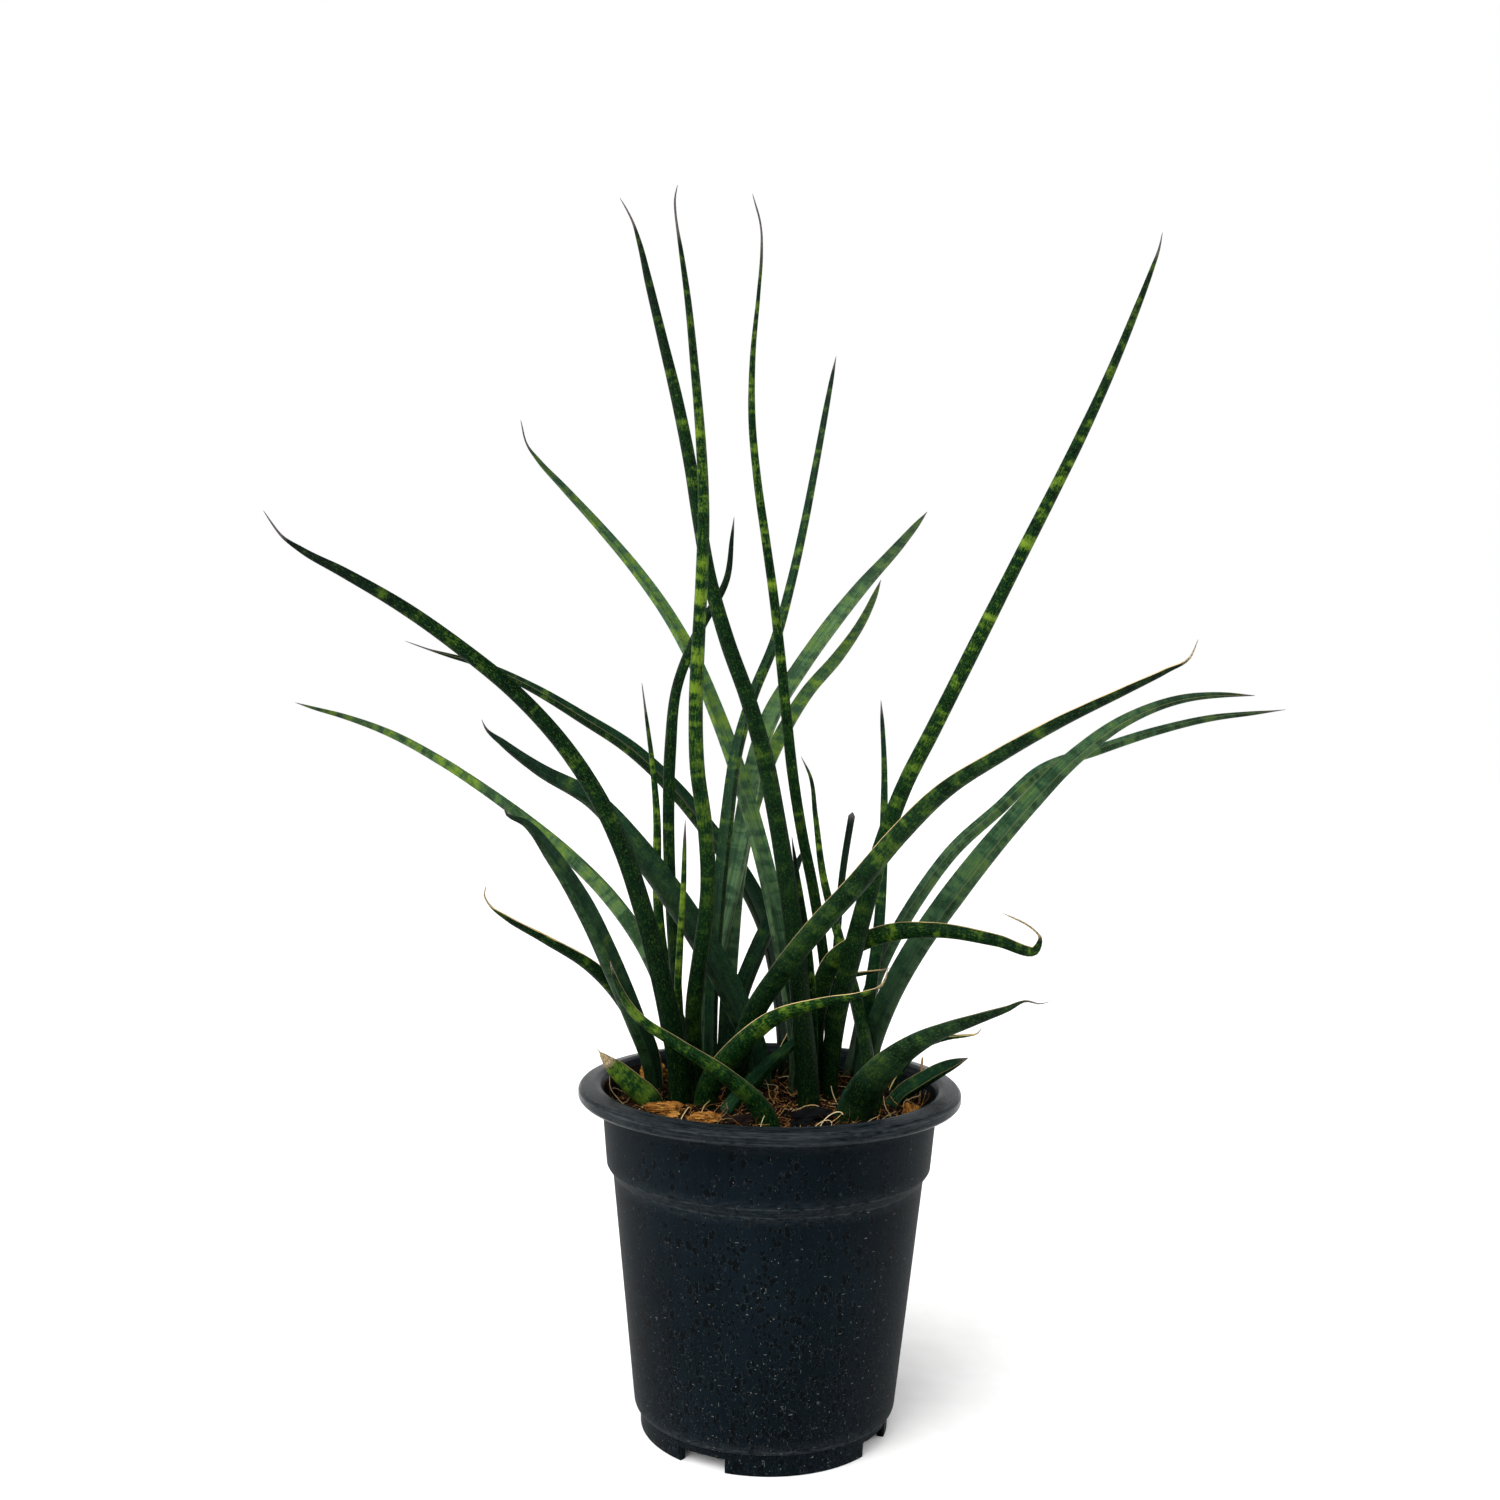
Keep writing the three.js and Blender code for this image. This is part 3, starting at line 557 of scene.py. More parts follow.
# What sets single leaves apart. In order: how light the green is, how strong the cross bands are,
# how whitish the face is, how much the tan margins show, how much of the leaf's end is dry, and how
# deep its channel is.
COLOUR_LOOKS = ("light", "banding", "bloom", "pale")
LOOK_NAMES = (*COLOUR_LOOKS, "dry", "depth")
USUAL_LOOK = (0.3, 0.6, 0.0, 0.0, 0.0, 0.8)
LOOKS = {
    "leaf_01": (0.3, 0.6, 0.0, 0.0, 0.0, 0.4),
    "leaf_02": (0.6, 0.9, 0.0, 0.0, 0.0, 0.4),
    "leaf_03": (0.5, 0.95, 0.0, 0.0, 0.0, 0.4),
    "leaf_04": (0.5, 0.95, 0.0, 0.0, 0.0, 0.4),
    "leaf_05": (0.85, 1.0, 0.6, 0.0, 0.0, 1.2),
    "leaf_06": (0.25, 0.5, 0.0, 0.0, 0.0, 0.5),
    "leaf_07": (0.2, 0.45, 0.0, 0.0, 0.0, 0.4),
    "leaf_08": (0.25, 0.6, 0.0, 0.12, 0.0, 0.8),
    "leaf_09": (0.8, 0.9, 0.4, 0.1, 0.0, 0.8),
    "leaf_10": (0.2, 0.4, 0.06, 0.0, 0.0, 1.4),
    "leaf_11": (0.3, 0.45, 0.0, 0.8, 0.05, 0.8),
    "leaf_12": (0.3, 0.3, 0.08, 0.0, 0.02, 1.4),
    "leaf_13": (0.6, 0.75, 0.0, 0.2, 0.0, 0.8),
    "leaf_14": (0.9, 1.0, 0.05, 0.6, 0.16, 0.8),
    "leaf_15": (0.6, 0.8, 0.0, 0.4, 0.05, 0.8),
    "leaf_16": (0.35, 0.4, 0.03, 0.3, 0.0, 1.3),
    "leaf_17": (0.45, 0.8, 0.0, 0.0, 0.0, 0.4),
    "leaf_18": (0.5, 1.0, 0.0, 0.0, 0.0, 0.3),
    "leaf_19": (0.55, 0.35, 0.22, 0.12, 0.0, 1.1),
    "leaf_20": (0.65, 0.4, 0.3, 0.1, 0.0, 0.8),
    "leaf_21": (0.45, 0.7, 0.0, 0.6, 0.03, 0.8),
    "leaf_22": (0.12, 0.4, 0.04, 0.12, 0.0, 0.8),
    "leaf_23": (0.4, 0.6, 0.0, 0.6, 0.0, 0.8),
    "leaf_24": (0.3, 0.3, 0.0, 0.15, 0.06, 1.8),
    "leaf_26": (0.6, 1.0, 0.0, 0.0, 0.0, 0.5),
    "leaf_27": (0.05, 0.3, 0.0, 0.0, 0.02, 0.8),
    "leaf_28": (0.85, 1.0, 0.0, 0.0, 0.0, 0.8),
    "leaf_29": (0.7, 0.9, 0.0, 0.0, 0.05, 0.8),
    "leaf_30": (0.85, 0.6, 0.65, 0.1, 0.0, 1.5),
    "leaf_31": (0.9, 1.0, 0.45, 0.1, 0.0, 0.8),
    "leaf_32": (0.15, 0.3, 0.0, 0.0, 0.0, 1.2),
    "leaf_33": (0.3, 0.9, 0.0, 0.0, 0.0, 0.5),
    "leaf_34": (0.35, 0.2, 0.0, 0.0, 0.0, 1.2),
    "leaf_35": (0.35, 0.4, 0.0, 0.6, 0.0, 0.8),
}
BLUNT_LEAVES = ("leaf_27",)


def corners_and_links(node):
    """A CAD node's corners, each once, and which corners its edges link."""
    mesh = frame["nodes"][node].data
    found = {}
    index = []
    for vertex in mesh.vertices:
        key = tuple(round(c / (0.005 * MM)) for c in vertex.co)
        index.append(found.setdefault(key, len(found)))
    corners = [None] * len(found)
    links = [set() for _ in found]
    for vertex, i in zip(mesh.vertices, index):
        corners[i] = np.array(vertex.co)
    for edge in mesh.edges:
        a, b = (index[v] for v in edge.vertices)
        if a != b:
            links[a].add(b)
            links[b].add(a)
    return np.array(corners), links


def leaf_layers(node):
    """The leaf solid's rings of corners from its flat foot up, and its tip."""
    corners, links = corners_and_links(node)
    floor = corners[:, 2].min()
    layer = [i for i in range(len(corners)) if corners[i, 2] < floor + 0.01 * MM]
    seen = set(layer)
    layers = []
    while layer:
        layers.append(corners[layer])
        following = set().union(*(links[i] for i in layer)) - seen
        seen |= following
        layer = sorted(following)
    rings = [ring for ring in layers if len(ring) == RING_CORNERS]
    if len(rings) < len(layers) - 1:
        raise RuntimeError(f"{node} has rings of {[len(ring) for ring in layers]} corners")
    return rings, layers[-1].mean(0)


def in_order(ring):
    """The ring's corners in their order round it."""
    middle = ring.mean(0)
    _, _, axes = np.linalg.svd(ring - middle)
    flat = (ring - middle) @ axes[:2].T
    return ring[np.argsort(np.arctan2(flat[:, 1], flat[:, 0]))]


def read_ring(ring, forward):
    """Middle, directions across and out of the channel, width and thickness of a ring.

    The leaf's section is laid over the ring at every start and both ways round, and the best fit is
    the true one. Its mirror image fits as well: the one that turns the right way is kept.
    """
    ring = in_order(ring)
    plan = np.column_stack([np.ones(RING_CORNERS), np.array(SECTION)])
    best = None
    for order in (ring, ring[::-1]):
        for start in range(RING_CORNERS):
            turned = np.roll(order, start, axis=0)
            fit = np.linalg.lstsq(plan, turned, rcond=None)[0]
            miss = np.abs(plan @ fit - turned).max()
            if np.dot(np.cross(fit[1], fit[2]), forward) > 0 and (best is None or miss < best[0]):
                best = (miss, fit)
    middle, across, up = best[1]
    width, thickness = np.linalg.norm(across), np.linalg.norm(up)
    return middle, across / width, up / thickness, width, thickness


def spline(values, knots, wanted):
    """Smooth values between knots, by cubic Hermite pieces."""
    values = np.asarray(values, float)
    flat = values.reshape(len(values), -1)
    slopes = np.gradient(flat, knots, axis=0)
    piece = np.clip(np.searchsorted(knots, wanted, side="right") - 1, 0, len(knots) - 2)
    h = knots[piece + 1] - knots[piece]
    t = ((wanted - knots[piece]) / h)[:, None]
    h = h[:, None]
    a, b = flat[piece], flat[piece + 1]
    sa, sb = slopes[piece] * h, slopes[piece + 1] * h
    out = (2 * t**3 - 3 * t**2 + 1) * a + (t**3 - 2 * t**2 + t) * sa
    out += (3 * t**2 - 2 * t**3) * b + (t**3 - t**2) * sb
    return out.reshape(len(wanted), *values.shape[1:])


def leaf_outline(depth):
    """Points round a leaf: u across, v out of the channel, and 1 in the channel."""
    points = []
    for i in range(AROUND_CHANNEL + 1):
        u = 0.5 * math.cos(math.pi * i / AROUND_CHANNEL)
        bowl = (1 - (2 * u) ** 2) ** 1.2
        crease = max(0, 1 - abs(u) / 0.08) * 0.02
        points.append((u, MARGIN_HEIGHT - depth * bowl - crease, 1))
    for i in range(1, AROUND_BACK):
        angle = math.pi * i / AROUND_BACK
        u = -0.5 * math.copysign(abs(math.cos(angle)) ** 0.88, math.cos(angle))
        v = MARGIN_HEIGHT - (MARGIN_HEIGHT + UNDERSIDE_DEPTH) * math.sin(angle) ** 0.92
        points.append((u, v, 0))
    return np.array(points)


def leaf_frames(node, blunt):
    """Middle line, directions and sizes along a leaf, in fine steps from foot to tip."""
    rings, tip = leaf_layers(node)
    middles = [ring.mean(0) for ring in rings] + [tip]
    read = [read_ring(ring, on - here) for ring, here, on in zip(rings, middles, middles[1:])]
    places = np.array([r[0] for r in read] + [tip])
    across = np.array([r[1] for r in read] + [read[-1][1]])
    width = np.array([r[3] for r in read] + [TIP_WIDTH])
    thick = np.array([r[4] for r in read] + [TIP_WIDTH])
    knots = np.concatenate([[0], np.cumsum(np.linalg.norm(np.diff(places, axis=0), axis=1))])
    steps = max(24, int(knots[-1] / LEAF_STEP))
    wanted = np.linspace(0, knots[-1], steps)
    place = spline(places, knots, wanted)
    tangent = np.gradient(place, axis=0)
    tangent /= np.linalg.norm(tangent, axis=1)[:, None]
    sideways = spline(across, knots, wanted)
    sideways -= np.sum(sideways * tangent, axis=1)[:, None] * tangent
    sideways /= np.linalg.norm(sideways, axis=1)[:, None]
    upward = np.cross(tangent, sideways)
    widths = np.interp(wanted, knots, width)
    thicks = np.interp(wanted, knots, thick)
    if blunt:
        keep = wanted < knots[-2]
        widths[~keep], thicks[~keep] = width[-2], thick[-2]
    soft = np.ones(5) / 5
    inner = slice(2, -2)
    widths[inner] = np.convolve(widths, soft, "valid")
    thicks[inner] = np.convolve(thicks, soft, "valid")
    return place, sideways, upward, widths, thicks, wanted


def add_leaf(name, number, material):
    """One leaf with its channel, uneven edges and the values that its material reads."""
    looks = dict(zip(LOOK_NAMES, LOOKS.get(name, USUAL_LOOK)))
    blunt = name in BLUNT_LEAVES
    place, sideways, upward, widths, thicks, lengths = leaf_frames(name, blunt)
    outline = leaf_outline(CHANNEL_DEPTH * looks["depth"])
    rows, columns = len(place), len(outline)
    total = lengths[-1]
    part = lengths / total
    # A living leaf is never quite even: its width and its edges waver a little.
    waver = np.array([noise.noise(Vector((number * 7.3, s / 0.03, 0))) for s in lengths])
    widths = widths * (1 + 0.045 * waver)
    if blunt:
        to_end = np.clip((total - lengths) / BLUNT_END, 0, 1)
        rounding = np.maximum(0.15, np.sqrt(1 - (1 - to_end) ** 2))
        widths, thicks = widths * rounding, thicks * rounding
    u = outline[None, :, 0] * widths[:, None]
    v = outline[None, :, 1] * thicks[:, None]
    points = place[:, None] + u[..., None] * sideways[:, None] + v[..., None] * upward[:, None]
    points = np.clip(points, CAD_BOX[0], CAD_BOX[1])
    round_way = np.concatenate([[0], np.cumsum(np.hypot(*np.diff(outline[:, :2], axis=0).T))])
    perimeter = round_way[-1] + np.hypot(*(outline[0, :2] - outline[-1, :2]))
    from_margin = round_way - round_way[AROUND_CHANNEL]
    off_edge = np.minimum(np.abs(from_margin), np.minimum(round_way, perimeter - round_way))
    skin = np.empty((rows, columns, 3))
    skin[..., 0] = from_margin[None] * widths[:, None] / MM
    skin[..., 1] = lengths[:, None] / MM
    skin[..., 2] = number * 11.7
    thin = np.clip((1.6 * MM - widths) / (0.5 * MM), 0, 1)
    tip_dry = np.clip((part - (1 - looks["dry"] - 0.012)) / 0.02, 0, 1)
    dry = np.maximum(thin, tip_dry)
    values = {
        "skin": skin.reshape(-1, 3),
        "along": np.repeat(part, columns),
        "channel": np.tile(outline[:, 2], rows),
        "edge": (off_edge[None] * widths[:, None] / MM).ravel(),
        "dry": np.repeat(dry, columns),
    }
    for key in COLOUR_LOOKS:
        values[key] = np.full(rows * columns, looks[key])
    faces = grid_faces(rows, columns)
    faces.append(tuple(range(columns))[::-1])
    faces.append(tuple(range((rows - 1) * columns, rows * columns)))
    leaf = new_piece("blade_" + name[-2:], points.reshape(-1, 3), faces, material, values)
    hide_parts(name)


def add_leaves():
    material = leaf_shade()
    names = sorted(n for n in frame["nodes"] if n.startswith("leaf_"))
    for number, name in enumerate(names):
        add_leaf(name, number, material)


# ---- Pot ----

POT_TURNS = 240
HOLE_SIDES = 48
NOTCH_RAGGED = 0.5 * MM
EDGE_ROUNDING = 0.5 * MM


def pot_profile():
    """The pot's outline in the half plane x > 0, from under its floor over the lip to its inside."""
    corners, links = corners_and_links("pot")
    on_plane = {i for i in range(len(corners)) if abs(corners[i, 1]) < 0.01 * MM and corners[i, 0] > 0}
    start = min(on_plane, key=lambda i: corners[i, 0] * 100 + corners[i, 2])
    chain = [start]
    while True:
        options = [i for i in links[chain[-1]] & on_plane if i not in chain]
        if not options:
            break
        here = corners[chain[-1]]
        chain.append(min(options, key=lambda i: np.linalg.norm(corners[i] - here)))
    return corners[chain][:, [0, 2]], corners


def rounded(profile):
    """The outline with its corners cut by short arcs and its long runs divided."""
    out = [profile[0]]
    for before, corner, after in zip(profile, profile[1:], profile[2:]):
        back, on = before - corner, after - corner
        reach = min(EDGE_ROUNDING, 0.4 * np.linalg.norm(back), 0.4 * np.linalg.norm(on))
        a = corner + back / np.linalg.norm(back) * reach
        b = corner + on / np.linalg.norm(on) * reach
        for t in (0, 0.33, 0.67, 1):
            out.append((1 - t) ** 2 * a + 2 * t * (1 - t) * corner + t**2 * b)
    out.append(profile[-1])
    fine = [out[0]]
    for a, b in zip(out, out[1:]):
        pieces = max(1, int(np.linalg.norm(b - a) / (4 * MM)))
        for i in range(pieces):
            fine.append(a + (b - a) * (i + 1) / pieces)
    return np.array(fine)


def notch_spans(corners):
    """The start and end angles of the notches in the foot ring, read off the ring's underside."""
    low = corners[corners[:, 2] < 0.01 * MM]
    angles = np.sort(np.arctan2(low[:, 1], low[:, 0]))
    spans = []
    for a, b in zip(angles, np.append(angles[1:], angles[0] + 2 * math.pi)):
        if b - a > math.radians(12):
            spans.append((a, b))
    return spans


def add_pot():
    """The pot, turned from its CAD outline, with ragged notches in its foot ring."""
    profile, corners = pot_profile()
    fine = rounded(profile)
    notches = notch_spans(corners)
    floor_height = float(profile[0, 1])
    turns = list(np.arange(POT_TURNS) * 2 * math.pi / POT_TURNS - math.pi)
    sliver = math.radians(0.08)
    for a, b in notches:
        for edge in (a, b):
            edge = (edge + math.pi) % (2 * math.pi) - math.pi
            turns = [t for t in turns if abs(t - edge) > math.radians(0.5)]
            turns += [edge - sliver, edge + sliver]
    turns = np.array(sorted(turns))
    rows, columns = len(turns), len(fine)
    points = np.empty((rows, columns, 3))
    for row, turn in enumerate(turns):
        inside = any(a < t < b for a, b in notches for t in (turn, turn + 2 * math.pi))
        lift = 0.0
        if inside:
            lift = floor_height - 0.6 * MM + NOTCH_RAGGED * noise.noise(Vector((turn * 40, 3.1, 0)))
        z = np.maximum(fine[:, 1], lift)
        points[row, :, 0] = fine[:, 0] * math.cos(turn)
        points[row, :, 1] = fine[:, 0] * math.sin(turn)
        points[row, :, 2] = z
    girth = fine[:, 0].max()
    run = np.concatenate([[0], np.cumsum(np.linalg.norm(np.diff(fine, axis=0), axis=1))])
    skin = np.empty((rows, columns, 3))
    # The pattern's space is a tube as wide as the pot, so that it has no seam.
    skin[..., 0] = np.cos(turns)[:, None] * girth / MM
    skin[..., 1] = np.sin(turns)[:, None] * girth / MM
    skin[..., 2] = run[None] / MM
    lip = np.argmax(fine[:, 1])
    height = fine[:, 1] / fine[lip, 1]
    values = {
        "skin": skin.reshape(-1, 3),
        "low": np.tile(np.clip(1.1 - height, 0, 1), rows),
        # The outer corners' mask, named worn, carries rubbed wear and a painted highlight.
        "worn": np.tile(edge_wear_and_highlight(fine, profile), rows),
        "rim": np.tile((fine[:, 1] > 0.945 * fine[lip, 1]).astype(float), rows),
    }
    flat = points.reshape(-1, 3)
    faces = [(a, d, c, b) for a, b, c, d in grid_faces(rows, columns, closed=False)]
    last = (rows - 1) * columns
    for column in range(columns - 1):
        faces.append((last + column, column, column + 1, last + column + 1))
    inner = [row * columns + columns - 1 for row in range(rows)]
    under = [row * columns for row in range(rows)]
    for row in range(rows):
        nxt = (row + 1) % rows
        faces.append((under[row], inner[row], inner[nxt], under[nxt]))
    pot = new_piece("pot_shell", flat, faces, pot_shade(), values)
    drill_pot(pot, corners)
    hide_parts("pot")


def edge_wear_and_highlight(fine, profile):
    """1 on the outline's outer corners, which get rubbed and carry a painted highlight, 0 elsewhere."""
    worn = np.zeros(len(fine))
    for corner in profile[3:-4]:
        distance = np.linalg.norm(fine - corner, axis=1)
        worn = np.maximum(worn, np.clip(1.3 - distance / (0.55 * MM), 0, 1))
    return worn


def drill_pot(pot, corners):
    """The drain holes away from the middle, where the CAD floor has them."""
    ring = np.hypot(corners[:, 0], corners[:, 1])
    floor = corners[(ring > 20 * MM) & (ring < 45 * MM) & (corners[:, 2] < 20 * MM)]
    signs = np.sign(floor[:, :2])
    cutter = Heap()
    for quarter in ((-1, -1), (-1, 1), (1, -1), (1, 1)):
        hole = floor[(signs == quarter).all(axis=1)]
        middle = (hole.max(0) + hole.min(0)) / 2
        radius = (hole[:, 0].max() - hole[:, 0].min()) / 2
        angles = np.arange(HOLE_SIDES) * 2 * math.pi / HOLE_SIDES
        circle = np.stack([middle[0] + radius * np.cos(angles), middle[1] + radius * np.sin(angles)], 1)
        points = [(x, y, z) for z in (-5 * MM, 20 * MM) for x, y in circle]
        faces = grid_faces(2, HOLE_SIDES)
        faces += [tuple(range(HOLE_SIDES))[::-1], tuple(range(HOLE_SIDES, 2 * HOLE_SIDES))]
        cutter.add(points, faces, 0)
    drill = new_object("drill", new_mesh("drill", np.vstack(cutter.points), cutter.faces))
    cut = pot.modifiers.new("drain_holes", "BOOLEAN")
    cut.object = drill
    cut.operation = "DIFFERENCE"
    cut.solver = "EXACT"
    bpy.context.view_layer.objects.active = pot
    bpy.context.view_layer.update()
    done = bpy.data.meshes.new_from_object(pot.evaluated_get(bpy.context.evaluated_depsgraph_get()))
    pot.modifiers.remove(cut)
    pot.data = done
    bpy.data.objects.remove(drill)


# ---- Soil ----

SOIL_RINGS = 110
SOIL_TURNS = 260
SOIL_RISE = 1.6 * MM
CRUMBS = 2800
FIBRE_STEPS = 9
CRUMB_KINDS = {
    # name: share of the crumbs, least and most length, colours from dark to light, slot
    "coir_crumbs": (
        0.34,
        (0.9, 3.2),
        [(0.36, (0.012, 0.0045, 0.0018)), (0.6, (0.11, 0.044, 0.012)), (0.82, (0.42, 0.21, 0.065))],
        "husk",
    ),
    "bark_crumbs": (
        0.36,
        (1.2, 4.6),
        [(0.35, (0.0025, 0.0018, 0.0016)), (0.65, (0.012, 0.007, 0.005)), (0.85, (0.05, 0.03, 0.019))],
        "bark",
    ),
    "charcoal_crumbs": (
        0.3,
        (1.0, 4.8),
        [(0.3, (0.001, 0.001, 0.0013)), (0.8, (0.008, 0.009, 0.011))],
        "charcoal",
    ),
}
FIBRE_KINDS = {
    # name: count, lengths, radii, first slopes, bend at each step, colours from dark to light
    "coir_fibres": (
        1150,
        (3, 13),
        (0.07, 0.19),
        (-0.3, 0.75),
        0.55,
        [(0.38, (0.014, 0.005, 0.0015)), (0.57, (0.22, 0.09, 0.022)), (0.74, (0.74, 0.43, 0.15))],
    ),
    "straws": (
        40,
        (8, 18),
        (0.18, 0.34),
        (0.0, 0.6),
        0.16,
        [(0.3, (0.3, 0.18, 0.06)), (0.8, (0.66, 0.5, 0.25))],
    ),
    "pale_roots": (
        34,
        (8, 20),
        (0.12, 0.24),
        (-0.1, 0.6),
        1.1,
        [(0.3, (0.25, 0.16, 0.07)), (0.8, (0.6, 0.48, 0.29))],
    ),
}


def soil_wall():
    """The soil's outline in the half plane x > 0, from its upper edge down to its underside."""
    corners, _ = corners_and_links("soil")
    ring = np.hypot(corners[:, 0], corners[:, 1])
    widest = {}
    for r, z in zip(ring, corners[:, 2]):
        key = round(z / (0.2 * MM))
        if r > widest.get(key, (0, 0))[0]:
            widest[key] = (r, z)
    outline = sorted(widest.values(), key=lambda point: -point[1])
    edge = max(range(len(outline)), key=lambda i: outline[i][0])
    wall = [outline[edge]]
    for point in outline[edge + 1:]:
        if point[0] > 0.9 * wall[-1][0]:
            wall.append(point)
    return wall


def soil_height(x, y, level):
    """The top of the soil at a place: broad mounds, lumps and crumbs."""
    place = Vector((x, y, 0))
    broad = noise.noise(place * 45) * 1.6 * MM
    lumps = noise.noise(place * 190 + Vector((5, 0, 0))) * 1.5 * MM
    cell = noise.voronoi(place * 260)[0][0]
    crumbs = (0.35 - cell) * 2.0 * MM
    fine = noise.fractal(place * 900, 0.8, 2.0, 3) * 0.5 * MM
    return level + broad + lumps + crumbs + fine


def add_soil():
    """The bed of potting mix, and its radius and level for what lies on it."""
    wall = soil_wall()
    radius, edge = wall[0]
    level = edge + SOIL_RISE
    rows, columns = SOIL_RINGS, SOIL_TURNS
    points = []
    tints = []
    for row in range(rows):
        r = radius * (row + 0.5) / rows
        for column in range(columns):
            turn = column * 2 * math.pi / columns
            x, y = r * math.cos(turn), r * math.sin(turn)
            fall = max(0, (r / radius - 0.93) / 0.07) * 1.2 * MM
            points.append((x, y, soil_height(x, y, level) - fall))
            tints.append(0.5 + 0.5 * noise.noise(Vector((x, y, 0.3)) * 160))
    faces = grid_faces(rows, columns)
    faces.append(tuple(range(columns))[::-1])
    # Down the wall to the underside, so that the drain holes show soil too.
    for r, z in wall[1:]:
        for column in range(columns):
            turn = column * 2 * math.pi / columns
            points.append((r * math.cos(turn), r * math.sin(turn), z))
            tints.append(0.4)
    start = (rows - 1) * columns
    faces += [tuple(start + i for i in face) for face in grid_faces(len(wall), columns)]
    faces.append(tuple(range(len(points) - columns, len(points))))
    stops = [
        (0.36, (0.0008, 0.0007, 0.0007)),
        (0.54, (0.0035, 0.0018, 0.0011)),
        (0.7, (0.018, 0.0075, 0.0026)),
        (0.86, (0.09, 0.038, 0.011)),
    ]
    material = earth_shade("soil_mix", stops, 300)
    soil = new_piece("soil_bed", points, faces, material, {"tint": tints})
    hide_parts("soil")
    return radius, level


def leaf_feet():
    """Where leaves stand in the soil, and how wide they are there."""
    feet = []
    for name in sorted(n for n in frame["nodes"] if n.startswith("leaf_")):
        rings, _ = leaf_layers(name)
        middle = rings[0].mean(0)
        feet.append((middle[0], middle[1], np.linalg.norm(rings[0] - middle, axis=1).max()))
    return feet


def free_place(radius, feet, margin):
    """A place on the soil, even by area, that isn't inside a leaf's foot."""
    while True:
        r = radius * math.sqrt(RANDOM.random())
        turn = RANDOM.uniform(-math.pi, math.pi)
        x, y = r * math.cos(turn), r * math.sin(turn)
        if all(math.hypot(x - fx, y - fy) > fr * 0.7 + margin for fx, fy, fr in feet):
            return x, y


def lump(middle, size, turn, roughness, seed, detail=2):
    """A rough lump: a round cage whose corners are pushed in and out by noise."""
    rings, sides = 4 + 2 * detail, 6 + 3 * detail
    points = []
    for i in range(1, rings):
        tilt = math.pi * i / rings
        for j in range(sides):
            angle = 2 * math.pi * (j + 0.5 * (i % 2)) / sides
            wide = math.sin(tilt)
            points.append(Vector((wide * math.cos(angle), wide * math.sin(angle), math.cos(tilt))))
    points += [Vector((0, 0, 1)), Vector((0, 0, -1))]
    shaped = []
    about_x, about_y, about_z = (Matrix.Rotation(a, 3, axis) for a, axis in zip(turn, "XYZ"))
    spin = about_z @ about_y @ about_x
    for p in points:
        k = 1 + roughness * noise.noise(p * 1.7 + Vector((seed, 0, 0)))
        k += 0.5 * roughness * noise.noise(p * 4.1 + Vector((0, seed, 0)))
        shaped.append(Vector(middle) + spin @ Vector((p.x * size[0], p.y * size[1], p.z * size[2])) * k / 2)
    faces = [face[::-1] for face in grid_faces(rings - 1, sides)]
    first, last = len(points) - 2, len(points) - 1
    for j in range(sides):
        faces.append((first, j, (j + 1) % sides))
        start = (rings - 2) * sides
        faces.append((last, start + (j + 1) % sides, start + j))
    return shaped, faces


def add_crumbs(radius, level, feet):
    """Bits of coir, bark and charcoal strewn over the soil, one heap for each kind."""
    for name, (share, (least, most), stops, slot) in CRUMB_KINDS.items():
        heap = Heap()
        for i in range(int(CRUMBS * share)):
            x, y = free_place(radius * 0.98, feet, 0.5 * MM)
            length = (least + (most - least) * RANDOM.random() ** 2.2) * MM
            size = (length, length * RANDOM.uniform(0.4, 0.8), length * RANDOM.uniform(0.3, 0.6))
            z = soil_height(x, y, level) + size[2] * RANDOM.uniform(-0.1, 0.35)
            turn = (RANDOM.uniform(-0.5, 0.5), RANDOM.uniform(-0.5, 0.5), RANDOM.uniform(0, 6.3))
            points, faces = lump((x, y, z), size, turn, 0.9, i * 1.37, detail=0 if length < 2 * MM else 1)
            heap.add(points, faces, RANDOM.random())
        heap.piece(name, earth_shade(name, stops, 900), slot, smooth=False)


def fibre(x, y, z, length, slope, bend):
    """A thin curved path that starts at a place on the soil."""
    heading = RANDOM.uniform(-math.pi, math.pi)
    path = [np.array([x, y, z])]
    for _ in range(FIBRE_STEPS):
        heading += RANDOM.uniform(-bend, bend)
        slope += RANDOM.uniform(-0.3, 0.25)
        level_run = math.cos(slope)
        step = (math.cos(heading) * level_run, math.sin(heading) * level_run, math.sin(slope))
        path.append(path[-1] + np.array(step) * length / FIBRE_STEPS)
    return np.array(path)


def add_fibres(radius, level, feet):
    """Coir fibres lying on the soil, and a few straws and pale roots."""
    for name, (count, lengths, radii, lifts, bend, stops) in FIBRE_KINDS.items():
        heap = Heap()
        for _ in range(count):
            x, y = free_place(radius * 0.95, feet, 0.3 * MM)
            length = RANDOM.uniform(*lengths) * MM
            path = fibre(x, y, soil_height(x, y, level) + 0.5 * MM, length, RANDOM.uniform(*lifts), bend)
            out = np.hypot(path[:, 0], path[:, 1])
            reach = np.minimum(1, radius * 0.985 / np.maximum(out, 1e-9))
            path[:, :2] *= reach[:, None]
            for i, (px, py, pz) in enumerate(path):
                path[i, 2] = max(pz, soil_height(px, py, level) + 0.1 * MM) if i else pz
            thickness = RANDOM.uniform(*radii) * MM
            taper = np.linspace(1, 0.45, len(path)) * thickness
            points, faces = tube(path, taper, 5)
            heap.add(points, faces, RANDOM.random())
        heap.piece(name, earth_shade(name, stops, 700), "husk")


